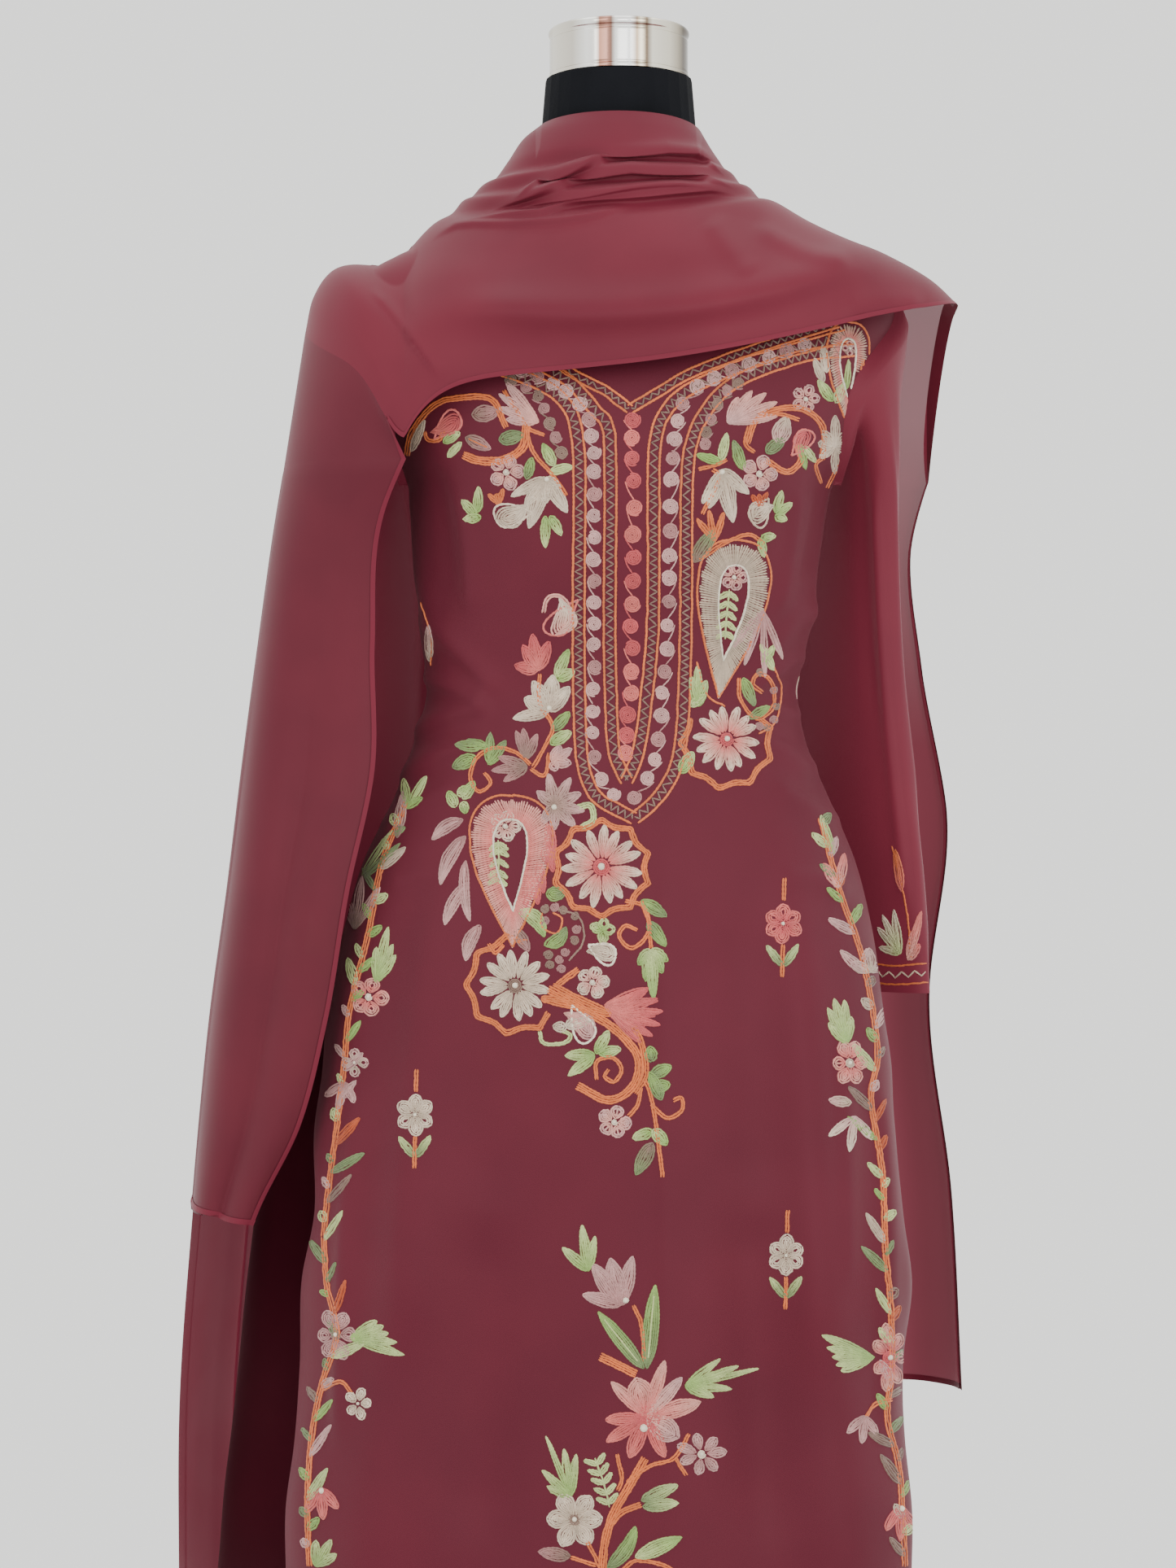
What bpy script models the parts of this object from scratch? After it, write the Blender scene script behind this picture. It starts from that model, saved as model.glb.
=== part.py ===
"""A salwar kameez suit on its limbless dress form: kameez, salwar and dupatta.

Metres, +Z up, the front faces -Y. The origin is the middle of the stand's underside.
Every cloth piece is a wall: a grid of outer points, and the same grid moved in along its normals.
"""

import math

import bpy
import numpy as np
from mathutils import Vector
from mathutils.bvhtree import BVHTree

# Driving dimensions
WALL = 0.0012
SEAM_GAP = 0.0003
ARMHOLE_GAP = 0.0005
REST_GAP = 0.0009
SCARF_EASE = 0.0065
BODY_X = 0.005
BODY_ROUNDNESS = 0.92

BASE_RADIUS = 0.190
BASE_HEIGHT = 0.016
SOCKET_RADIUS = 0.028
SOCKET_HEIGHT = 0.006
POLE_RADIUS = 0.0125
NECK_TOP = 1.493
CAP_RADIUS = 0.0525
CAP_HEIGHT = 0.038
CAP_BEVEL = 0.006

KAMEEZ_HEM = 0.285
SLIT_TOP = 0.955
SLIT_OPEN = 0.034
SLIT_WAVE = 0.009
BACK_RIGHT_IN = 0.010
UNDERARM = 1.190
SHOULDER_TIP = 1.322
NECK_POINT = 1.409
FRONT_NECK_DROP = 0.066
BACK_NECK_DROP = 0.020
NECK_SHARE = 0.375
ARMHOLE_SCOOP = math.radians(26)
SCOOP_EASE = 0.06

BELT_TOP = 0.950
BELT_FOOT = 0.820
BELT_EASE = 0.003
CROTCH_Y = 0.004
CROTCH_Z = 0.610
LEG_PLEATS = 9
PLEAT_DEPTH = 0.0045
CUFF_TOP = 0.150
ANKLE_HEM = 0.095
CUFF_WALL = 0.0018

# Counts of the grids
FORM_COLUMNS = 28
STAND_SIDES = 40
PANEL_COLUMNS = 17
ARMHOLE_STEPS = 7
SLEEVE_EXTRA_HEIGHTS = [1.175, 1.10, 1.02, 0.94]
SEAT_COLUMN = 1
SEAT_STEPS = 5
SEAT_CURVE = 2 / 3
RISE_SHARES = [0.18, 0.36, 0.58, 0.80, 1.0]
FRONT_FALL_ROWS = 9
LEFT_BACK_ROWS = 11
RIGHT_BACK_ROWS = 10

PLUM = (0.235, 0.047, 0.068)
SHEER_PLUM = (0.270, 0.058, 0.080)

# Dress form sections: height, half width, depth in front, depth behind
FORM_SECTIONS = [
    {"z": 0.735, "half": 0.150, "front": 0.098, "back": 0.106},
    {"z": 0.752, "half": 0.165, "front": 0.108, "back": 0.117},
    {"z": 0.820, "half": 0.171, "front": 0.112, "back": 0.122},
    {"z": 0.880, "half": 0.165, "front": 0.107, "back": 0.115},
    {"z": 0.950, "half": 0.147, "front": 0.097, "back": 0.098},
    {"z": 1.025, "half": 0.127, "front": 0.090, "back": 0.083},
    {"z": 1.090, "half": 0.133, "front": 0.098, "back": 0.085},
    {"z": 1.150, "half": 0.143, "front": 0.113, "back": 0.090},
    {"z": 1.200, "half": 0.152, "front": 0.121, "back": 0.094},
    {"z": 1.250, "half": 0.163, "front": 0.117, "back": 0.098},
    {"z": 1.290, "half": 0.177, "front": 0.104, "back": 0.100},
    {"z": 1.322, "half": 0.189, "front": 0.088, "back": 0.095},
    {"z": 1.336, "half": 0.181, "front": 0.082, "back": 0.090},
    {"z": 1.350, "half": 0.163, "front": 0.077, "back": 0.085},
    {"z": 1.362, "half": 0.143, "front": 0.072, "back": 0.080},
    {"z": 1.378, "half": 0.119, "front": 0.066, "back": 0.073},
    {"z": 1.395, "half": 0.096, "front": 0.060, "back": 0.067},
    {"z": 1.410, "half": 0.077, "front": 0.056, "back": 0.062},
    {"z": 1.425, "half": 0.065, "front": 0.053, "back": 0.058},
    {"z": 1.445, "half": 0.0585, "front": 0.052, "back": 0.055},
    {"z": 1.4927, "half": 0.0545, "front": 0.0545, "back": 0.0545},
]

# Kameez sections: height, outer edges left and right as seen from the front, depths,
# and how far the back panel's own left edge strays beyond the front's
KAMEEZ_SECTIONS = [
    {"z": 0.285, "left": -0.243, "right": 0.223, "front": 0.137, "back": 0.150, "stray": 0.062},
    {"z": 0.386, "left": -0.240, "right": 0.219, "front": 0.136, "back": 0.148, "stray": 0.056},
    {"z": 0.438, "left": -0.239, "right": 0.219, "front": 0.135, "back": 0.146, "stray": 0.054},
    {"z": 0.485, "left": -0.233, "right": 0.215, "front": 0.134, "back": 0.145, "stray": 0.054},
    {"z": 0.540, "left": -0.230, "right": 0.213, "front": 0.133, "back": 0.143, "stray": 0.050},
    {"z": 0.604, "left": -0.228, "right": 0.219, "front": 0.132, "back": 0.141, "stray": 0.046},
    {"z": 0.654, "left": -0.218, "right": 0.212, "front": 0.131, "back": 0.140, "stray": 0.050},
    {"z": 0.716, "left": -0.219, "right": 0.206, "front": 0.130, "back": 0.138, "stray": 0.032},
    {"z": 0.757, "left": -0.214, "right": 0.206, "front": 0.129, "back": 0.137, "stray": 0.016},
    {"z": 0.800, "left": -0.211, "right": 0.200, "front": 0.128, "back": 0.135, "stray": 0.004},
    {"z": 0.863, "left": -0.198, "right": 0.192, "front": 0.125, "back": 0.131, "stray": 0.0},
    {"z": 0.912, "left": -0.184, "right": 0.180, "front": 0.119, "back": 0.124, "stray": 0.0},
    {"z": 0.955, "left": -0.163, "right": 0.162, "front": 0.111, "back": 0.113, "stray": 0.0},
    {"z": 0.999, "left": -0.147, "right": 0.144, "front": 0.104, "back": 0.100, "stray": 0.0},
    {"z": 1.034, "left": -0.138, "right": 0.138, "front": 0.101, "back": 0.094, "stray": 0.0},
    {"z": 1.082, "left": -0.143, "right": 0.147, "front": 0.108, "back": 0.095, "stray": 0.0},
    {"z": 1.140, "left": -0.146, "right": 0.155, "front": 0.123, "back": 0.098, "stray": 0.0},
    {"z": 1.190, "left": -0.152, "right": 0.164, "front": 0.132, "back": 0.103, "stray": 0.0},
    {"z": 1.220, "left": -0.165, "right": 0.175, "front": 0.133, "back": 0.106, "stray": 0.0},
    {"z": 1.250, "left": -0.180, "right": 0.189, "front": 0.128, "back": 0.109, "stray": 0.0},
    {"z": 1.285, "left": -0.196, "right": 0.204, "front": 0.116, "back": 0.110, "stray": 0.0},
    {"z": 1.309, "left": -0.203, "right": 0.210, "front": 0.102, "back": 0.106, "stray": 0.0},
    {"z": 1.327, "left": -0.201, "right": 0.208, "front": 0.092, "back": 0.100, "stray": 0.0},
    {"z": 1.342, "left": -0.188, "right": 0.196, "front": 0.085, "back": 0.093, "stray": 0.0},
    {"z": 1.354, "left": -0.168, "right": 0.177, "front": 0.080, "back": 0.087, "stray": 0.0},
    {"z": 1.366, "left": -0.143, "right": 0.152, "front": 0.075, "back": 0.082, "stray": 0.0},
    {"z": 1.383, "left": -0.117, "right": 0.127, "front": 0.069, "back": 0.076, "stray": 0.0},
    {"z": 1.400, "left": -0.093, "right": 0.103, "front": 0.063, "back": 0.070, "stray": 0.0},
    {"z": 1.415, "left": -0.075, "right": 0.085, "front": 0.060, "back": 0.065, "stray": 0.0},
]

# Long soft folds of the free skirt panels: where each starts and ends, its width and depth
SKIRT_FOLDS = [
    {"panel": "front", "x_top": -0.120, "z_top": 0.93, "x_hem": -0.190, "width": 0.030, "depth": 0.010},
    {"panel": "front", "x_top": -0.060, "z_top": 0.78, "x_hem": -0.105, "width": 0.034, "depth": -0.008},
    {"panel": "front", "x_top": 0.035, "z_top": 0.90, "x_hem": 0.035, "width": 0.045, "depth": 0.007},
    {"panel": "front", "x_top": 0.085, "z_top": 0.80, "x_hem": 0.120, "width": 0.032, "depth": -0.009},
    {"panel": "front", "x_top": 0.125, "z_top": 0.94, "x_hem": 0.182, "width": 0.028, "depth": 0.009},
    {"panel": "back", "x_top": -0.110, "z_top": 0.94, "x_hem": -0.220, "width": 0.038, "depth": 0.012},
    {"panel": "back", "x_top": -0.050, "z_top": 0.98, "x_hem": -0.090, "width": 0.034, "depth": -0.010},
    {"panel": "back", "x_top": 0.010, "z_top": 1.05, "x_hem": 0.010, "width": 0.036, "depth": 0.013},
    {"panel": "back", "x_top": 0.060, "z_top": 0.98, "x_hem": 0.090, "width": 0.034, "depth": -0.010},
    {"panel": "back", "x_top": 0.110, "z_top": 0.94, "x_hem": 0.160, "width": 0.034, "depth": 0.010},
]

# Limp sleeve, as the wearer-side tube of the right of the picture: centre, half width of the
# flat tube, half thickness, and the angle of its width from the X axis
SLEEVE_SECTIONS = [
    {"z": 1.265, "x": 0.194, "y": 0.006, "half": 0.062, "thick": 0.024, "angle": 86},
    {"z": 1.210, "x": 0.189, "y": 0.026, "half": 0.060, "thick": 0.016, "angle": 78},
    {"z": 1.140, "x": 0.180, "y": 0.042, "half": 0.060, "thick": 0.013, "angle": 64},
    {"z": 1.060, "x": 0.178, "y": 0.050, "half": 0.058, "thick": 0.012, "angle": 54},
    {"z": 0.980, "x": 0.184, "y": 0.056, "half": 0.056, "thick": 0.012, "angle": 48},
    {"z": 0.900, "x": 0.194, "y": 0.064, "half": 0.053, "thick": 0.012, "angle": 44},
    {"z": 0.845, "x": 0.200, "y": 0.067, "half": 0.050, "thick": 0.012, "angle": 42},
    {"z": 0.812, "x": 0.202, "y": 0.068, "half": 0.050, "thick": 0.012, "angle": 42},
]
LEFT_ARMHOLE_IN = 0.008
CAP_STAND = 0.007
LEFT_CUFF_OUT = 0.013

# Salwar legs below the crotch: height, distance of the centre from the crotch line, half sizes
LEG_SECTIONS = [
    {"z": 0.560, "out": 0.090, "half": 0.084, "depth": 0.088},
    {"z": 0.450, "out": 0.088, "half": 0.078, "depth": 0.080},
    {"z": 0.340, "out": 0.086, "half": 0.074, "depth": 0.072},
    {"z": 0.240, "out": 0.083, "half": 0.070, "depth": 0.064},
    {"z": 0.150, "out": 0.080, "half": 0.067, "depth": 0.058},
    {"z": 0.095, "out": 0.080, "half": 0.067, "depth": 0.057},
]

# Dupatta over the neck and chest, from its upper edge to its lower one. Each row is a line of
# the cloth: where it crosses the left shoulder, the front middle and the right shoulder.
COWL_LINES = [
    {"lx": -0.0570, "lz": 1.452, "cy": -0.0640, "cz": 1.456, "rx": 0.0670, "rz": 1.446},
    {"lx": -0.0680, "lz": 1.444, "cy": -0.0720, "cz": 1.444, "rx": 0.0720, "rz": 1.438},
    {"lx": -0.0780, "lz": 1.429, "cy": -0.0800, "cz": 1.428, "rx": 0.0780, "rz": 1.429},
    {"lx": -0.0890, "lz": 1.414, "cy": -0.0790, "cz": 1.417, "rx": 0.0840, "rz": 1.422},
    {"lx": -0.0980, "lz": 1.410, "cy": -0.0880, "cz": 1.411, "rx": 0.0900, "rz": 1.418},
    {"lx": -0.1050, "lz": 1.403, "cy": -0.0860, "cz": 1.401, "rx": 0.0960, "rz": 1.411},
    {"lx": -0.1120, "lz": 1.400, "cy": -0.0960, "cz": 1.394, "rx": 0.1030, "rz": 1.408},
    {"lx": -0.1200, "lz": 1.391, "cy": -0.0950, "cz": 1.384, "rx": 0.1110, "rz": 1.400},
    {"lx": -0.1330, "lz": 1.385, "cy": -0.1080, "cz": 1.374, "rx": 0.1230, "rz": 1.397},
    {"lx": -0.1560, "lz": 1.370, "cy": -0.1220, "cz": 1.354, "rx": 0.1480, "rz": 1.382},
    {"lx": -0.1840, "lz": 1.360, "cy": -0.1350, "cz": 1.332, "rx": 0.1760, "rz": 1.368},
    {"lx": -0.2080, "lz": 1.350, "cy": -0.1440, "cz": 1.308, "rx": 0.2040, "rz": 1.357},
    {"lx": -0.2220, "lz": 1.330, "cy": -0.1450, "cz": 1.284, "rx": 0.2300, "rz": 1.340},
    {"lx": -0.2280, "lz": 1.304, "cy": -0.1430, "cz": 1.262, "rx": 0.2460, "rz": 1.320},
]
COWL_COLUMNS = 25
COWL_CORNER = 6
COWL_SHIFT = 0.004
COWL_RIGHT_LIFT = 0.030
COWL_LEFT_SAG = 0.028
FOLD_GAP = 0.0012
ROUNDNESS = 0.93

# Left fall: the outer fold over the arm, the free edge in front and the free edge behind
LEFT_FALL = [
    {"z": 1.200, "x": -0.244, "y": 0.003,
     "front_x": -0.148, "front_y": -0.098, "back_x": -0.066, "back_y": 0.122},
    {"z": 1.166, "x": -0.250, "y": 0.004,
     "front_x": -0.163, "front_y": -0.085, "back_x": -0.064, "back_y": 0.124},
    {"z": 1.069, "x": -0.264, "y": 0.004,
     "front_x": -0.172, "front_y": -0.070, "back_x": -0.060, "back_y": 0.130},
    {"z": 0.980, "x": -0.276, "y": 0.006,
     "front_x": -0.172, "front_y": -0.068, "back_x": -0.061, "back_y": 0.142},
    {"z": 0.890, "x": -0.287, "y": 0.008,
     "front_x": -0.190, "front_y": -0.076, "back_x": -0.065, "back_y": 0.156},
    {"z": 0.796, "x": -0.300, "y": 0.010,
     "front_x": -0.206, "front_y": -0.074, "back_x": -0.070, "back_y": 0.168},
    {"z": 0.720, "x": -0.308, "y": 0.013,
     "front_x": -0.226, "front_y": -0.066, "back_x": -0.076, "back_y": 0.174},
    {"z": 0.645, "x": -0.315, "y": 0.018,
     "front_x": -0.262, "front_y": -0.046, "back_x": -0.082, "back_y": 0.180},
    {"z": 0.500, "x": -0.328, "y": 0.044,
     "front_x": -0.262, "front_y": -0.046, "back_x": -0.094, "back_y": 0.186},
    {"z": 0.340, "x": -0.330, "y": 0.056,
     "front_x": -0.262, "front_y": -0.046, "back_x": -0.110, "back_y": 0.190},
]
LEFT_FRONT_HEM = 0.645
LEFT_BACK_HEM = 0.340
RIGHT_BACK_HEM = 0.494
LEFT_FRONT_CORNER_RISE = 0.012

# Right fall, all behind: its outer edge, and its inner edge behind the back
RIGHT_FALL = [
    {"z": 1.285, "x": 0.262, "y": 0.046, "back_x": 0.074, "back_y": 0.120},
    {"z": 1.225, "x": 0.251, "y": 0.078, "back_x": 0.068, "back_y": 0.122},
    {"z": 1.150, "x": 0.233, "y": 0.100, "back_x": 0.060, "back_y": 0.126},
    {"z": 1.060, "x": 0.238, "y": 0.110, "back_x": 0.052, "back_y": 0.132},
    {"z": 0.930, "x": 0.254, "y": 0.116, "back_x": 0.046, "back_y": 0.150},
    {"z": 0.800, "x": 0.240, "y": 0.118, "back_x": 0.040, "back_y": 0.168},
    {"z": 0.650, "x": 0.257, "y": 0.116, "back_x": 0.036, "back_y": 0.180},
    {"z": 0.494, "x": 0.265, "y": 0.114, "back_x": 0.032, "back_y": 0.188},
]
FALL_TOP = 1.200
FALL_SHARES = [0.05, 0.11, 0.18, 0.26, 0.36, 0.50, 0.72, 1.0]
FALL_RIPPLES = 5
RIPPLE_DEPTH = 0.010


def reading(table, column, at, key="z"):
    """The column's value at the given heights, on a smooth curve through the table's rows."""
    rows = sorted(table, key=lambda row: row[key])
    x = np.array([row[key] for row in rows])
    y = np.array([row[column] for row in rows])
    slope = np.gradient(y, x)
    at = np.clip(np.asarray(at, float), x[0], x[-1])
    i = np.clip(np.searchsorted(x, at) - 1, 0, len(x) - 2)
    span = x[i + 1] - x[i]
    t = (at - x[i]) / span
    start = y[i] * (1 + 2 * t) * (1 - t) ** 2 + slope[i] * span * t * (1 - t) ** 2
    end = y[i + 1] * t * t * (3 - 2 * t) - slope[i + 1] * span * t * t * (1 - t)
    return start + end


def smooth(t):
    t = np.clip(t, 0.0, 1.0)
    return t * t * (3 - 2 * t)


def power(value, exponent):
    return np.sign(value) * np.abs(value) ** exponent


def unit(vectors):
    return vectors / np.maximum(np.linalg.norm(vectors, axis=-1, keepdims=True), 1e-12)


def grid_normals(points, closed):
    """Normals of a grid of points, rows by columns. A closed grid's columns run all round."""
    if closed:
        along = np.roll(points, -1, axis=1) - np.roll(points, 1, axis=1)
    else:
        along = np.gradient(points, axis=1)
    return unit(np.cross(along, np.gradient(points, axis=0)))


def grid_faces(rows, columns, closed):
    """The four-sided faces of a grid whose points are numbered row by row."""
    faces = []
    for r in range(rows - 1):
        for c in range(columns if closed else columns - 1):
            d = (c + 1) % columns
            low, high = r * columns, (r + 1) * columns
            faces.append((low + c, low + d, high + d, high + c))
    return faces


def halved(points, faces):
    """The faces as triangles, each cut along its shorter diagonal."""
    triangles = []
    for a, b, c, d in faces:
        if math.dist(points[a], points[c]) <= math.dist(points[b], points[d]):
            triangles += [(a, b, c), (a, c, d)]
        else:
            triangles += [(a, b, d), (b, c, d)]
    return triangles


def material(name, colour, roughness, metallic=0.0):
    made = bpy.data.materials.new(name)
    made.use_nodes = True
    shader = made.node_tree.nodes["Principled BSDF"]
    shader.inputs["Base Color"].default_value = (*colour, 1.0)
    shader.inputs["Roughness"].default_value = roughness
    shader.inputs["Metallic"].default_value = metallic
    return made


def add_object(name, points, faces, look):
    mesh = bpy.data.meshes.new(name)
    mesh.from_pydata([tuple(p) for p in points], [], faces)
    mesh.shade_smooth()
    made = bpy.data.objects.new(name, mesh)
    bpy.context.scene.collection.objects.link(made)
    mesh.materials.append(look)
    return made


class Cloth:
    """One cloth piece: its grid of outer points and the grid of inner points."""

    def __init__(self, name, outer, normals, look, closed=False, wall=WALL):
        self.name = name
        self.outer = outer
        self.normals = normals
        self.inner = outer - normals * wall
        self.look = look
        self.closed = closed

    def move(self, offset):
        self.outer = self.outer + offset
        self.inner = self.inner + offset

    def triangles(self):
        """Cut the same way outside and inside, so that the wall keeps its thickness."""
        faces = grid_faces(*self.outer.shape[:2], self.closed)
        return halved(self.outer.reshape(-1, 3), faces)

    def skin(self, points):
        """The grid's faces, for measuring against."""
        return BVHTree.FromPolygons([Vector(p) for p in points.reshape(-1, 3)], self.triangles())

    def build(self):
        rows, columns = self.outer.shape[:2]
        count = rows * columns
        faces = self.triangles()
        faces += [tuple(count + corner for corner in face[::-1]) for face in faces]
        for r, back in ((0, False), (rows - 1, True)):
            for c in range(columns if self.closed else columns - 1):
                a = r * columns + c
                b = r * columns + (c + 1) % columns
                rim = (a, count + a, count + b, b)
                faces.append(rim[::-1] if back else rim)
        if not self.closed:
            for c, back in ((0, True), (columns - 1, False)):
                for r in range(rows - 1):
                    a = r * columns + c
                    b = (r + 1) * columns + c
                    rim = (a, count + a, count + b, b)
                    faces.append(rim[::-1] if back else rim)
        points = np.concatenate([self.outer.reshape(-1, 3), self.inner.reshape(-1, 3)])
        return add_object(self.name, points, faces, self.look)


def finer(grid, parts=3):
    """The grid with its faces cut into smaller ones, to measure between its points."""
    for axis in (0, 1):
        count = grid.shape[axis]
        at = np.linspace(0, count - 1, (count - 1) * parts + 1)
        low = np.minimum(at.astype(int), count - 2)
        share = (at - low).reshape([-1 if a == axis else 1 for a in range(3)])
        grid = np.take(grid, low, axis) * (1 - share) + np.take(grid, low + 1, axis) * share
    return grid.reshape(-1, 3)


def settle(pieces, supports, above):
    """How far the pieces together sink or rise until the cloth just rests on what is under it."""
    gaps = []
    sky = 2.0
    down = Vector((0, 0, -1))
    for piece in pieces:
        under = piece.skin(piece.inner)
        for grid, tree in supports:
            for x, y, z in finer(piece.inner):
                hit = tree.ray_cast(Vector((x, y, sky)), down)[0] if z > above else None
                if hit is not None and hit.z > above:
                    gaps.append(z - hit.z)
            for x, y, z in finer(grid):
                hit = under.ray_cast(Vector((x, y, sky)), down)[0] if z > above else None
                if hit is not None:
                    gaps.append(hit.z - z)
    return np.array([0.0, 0.0, REST_GAP - min(gaps)])


# The dress form and its stand

def form_grid(heights):
    """Rings of the form at these heights."""
    turn = np.linspace(0, 2 * math.pi, FORM_COLUMNS, endpoint=False)[None, :]
    z = np.asarray(heights, float)[:, None]
    front = reading(FORM_SECTIONS, "front", z)
    back = reading(FORM_SECTIONS, "back", z)
    x = BODY_X + reading(FORM_SECTIONS, "half", z) * power(np.sin(turn), BODY_ROUNDNESS)
    y = -power(np.cos(turn), BODY_ROUNDNESS) * np.where(np.cos(turn) > 0, front, back)
    return np.stack([x, y, np.broadcast_to(z, x.shape)], axis=-1)


def form_torso(look):
    heights = [row["z"] for row in FORM_SECTIONS]
    grid = form_grid(heights)
    rows, columns = grid.shape[:2]
    faces = [tuple(range(columns))[::-1]]
    faces.append(tuple((rows - 1) * columns + c for c in range(columns)))
    faces += grid_faces(rows, columns, closed=True)
    points = grid.reshape(-1, 3)
    add_object("form_torso", points, faces, look)
    return grid, BVHTree.FromPolygons([Vector(p) for p in points], faces)


def turned(name, profile, x, look, sides=STAND_SIDES):
    """A solid turned round the upright axis at x, from (radius, height) pairs going up."""
    turn = np.linspace(0, 2 * math.pi, sides, endpoint=False)
    points = [(x + r * math.cos(a), r * math.sin(a), z) for r, z in profile for a in turn]
    faces = [tuple(range(sides))[::-1]]
    faces.append(tuple((len(profile) - 1) * sides + c for c in range(sides)))
    faces += grid_faces(len(profile), sides, closed=True)
    return add_object(name, points, faces, look)


def form_cap(look):
    foot = NECK_TOP
    top = foot + CAP_HEIGHT
    profile = [(CAP_RADIUS, foot), (CAP_RADIUS, top - CAP_BEVEL)]
    for step in range(1, 5):
        angle = math.radians(22.5 * step)
        inset = CAP_BEVEL * (1 - math.cos(angle))
        profile.append((CAP_RADIUS - inset, top - CAP_BEVEL + CAP_BEVEL * math.sin(angle)))
    turned("form_cap", profile, BODY_X, look)


def form_stand(look):
    rim = BASE_HEIGHT * 0.5
    profile = [(BASE_RADIUS - 0.002, 0.0), (BASE_RADIUS, 0.002), (BASE_RADIUS, rim)]
    profile += [(BASE_RADIUS * 0.94, rim + 0.003), (SOCKET_RADIUS + 0.017, BASE_HEIGHT)]
    profile += [(SOCKET_RADIUS, BASE_HEIGHT + SOCKET_HEIGHT)]
    turned("form_base", profile, 0.0, look)
    foot = BASE_HEIGHT + SOCKET_HEIGHT + SEAM_GAP
    top = FORM_SECTIONS[0]["z"] - SEAM_GAP
    turned("form_pole", [(POLE_RADIUS, foot), (POLE_RADIUS, top)], 0.0, look, sides=20)


# The kameez

def kameez_point(turn, z, panel):
    """Outer surface of a panel. turn runs from -90 to 90 degrees, left to right of the picture."""
    free = smooth((SLIT_TOP - z) / 0.30)
    left = reading(KAMEEZ_SECTIONS, "left", z)
    right = reading(KAMEEZ_SECTIONS, "right", z)
    depth = reading(KAMEEZ_SECTIONS, panel, z)
    across = power(np.sin(turn), ROUNDNESS)
    deep = np.abs(np.cos(turn)) ** ROUNDNESS
    if panel == "back":
        left = left - reading(KAMEEZ_SECTIONS, "stray", z)
        right = right - BACK_RIGHT_IN * free
    x = np.where(across < 0, -left * across, right * across)
    edge = free * (SLIT_OPEN + SLIT_WAVE * np.sin(z * 31.0 + (across > 0)))
    y = edge + (depth - edge) * deep
    for fold in SKIRT_FOLDS:
        if fold["panel"] != panel:
            continue
        down = (fold["z_top"] - z) / (fold["z_top"] - KAMEEZ_HEM)
        line = fold["x_top"] + (fold["x_hem"] - fold["x_top"]) * np.maximum(down, 0)
        bell = np.exp(-(((x - line) / fold["width"]) ** 2))
        y = y + fold["depth"] * smooth(down * 1.5) * bell
    return np.stack([x, -y if panel == "front" else y, z + 0 * x], axis=-1)


def kameez_rows():
    lower = np.linspace(KAMEEZ_HEM, SLIT_TOP, 13)
    upper = np.linspace(SLIT_TOP, UNDERARM, 7)[1:]
    return np.concatenate([lower, upper])


def kameez_panel(panel, look):
    """Front or back: straight rows up to the underarm, then rows that bend to the neckline."""
    share = np.linspace(-1, 1, PANEL_COLUMNS)[None, :]
    rows = kameez_rows()[:, None]
    turn = np.broadcast_to(share * math.pi / 2, (len(rows), PANEL_COLUMNS))
    body = kameez_point(turn, np.broadcast_to(rows, turn.shape), panel)

    rise = (np.arange(1, ARMHOLE_STEPS + 1) / ARMHOLE_STEPS)[:, None]
    along_neck = np.clip(np.abs(share) / NECK_SHARE, 0, 1)
    along_shoulder = np.clip((np.abs(share) - NECK_SHARE) / (1 - NECK_SHARE), 0, 1)
    drop = FRONT_NECK_DROP if panel == "front" else BACK_NECK_DROP
    top_turn = np.sign(share) * along_neck * math.pi / 2
    top_z = NECK_POINT - drop * np.cos(along_neck * math.pi / 2)
    top_z = top_z + (SHOULDER_TIP + 0.004 - NECK_POINT) * along_shoulder
    scooped = share * math.sqrt(1 + SCOOP_EASE) / np.sqrt(np.abs(share) + SCOOP_EASE)
    scoop = ARMHOLE_SCOOP * np.sin(math.pi * rise) * scooped
    upper_turn = share * (1 - rise) * math.pi / 2 + rise * top_turn - scoop
    upper_z = UNDERARM + (top_z - UNDERARM) * rise
    yoke = kameez_point(upper_turn, upper_z, panel)

    outer = np.concatenate([body, yoke])
    if panel == "back":
        outer = outer[:, ::-1]
    normals = grid_normals(outer, closed=False)
    first_armhole = len(rows)
    seam = np.zeros(outer.shape[:2], bool)
    free_rows = kameez_rows() < SLIT_TOP - 1e-6
    seam[: len(rows), [0, -1]] = ~free_rows[:, None]
    seam[-1] = np.abs(share[0]) >= NECK_SHARE - 1e-6
    normals[seam, 1] = 0.0
    normals = unit(normals)
    piece = Cloth("kameez_" + panel, outer, normals, look)
    piece.first_armhole = first_armhole - 1
    side = -1 if panel == "front" else 1
    piece.move(np.array([0.0, side * SEAM_GAP / 2, 0.0]))
    return piece


# The sleeves

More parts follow.
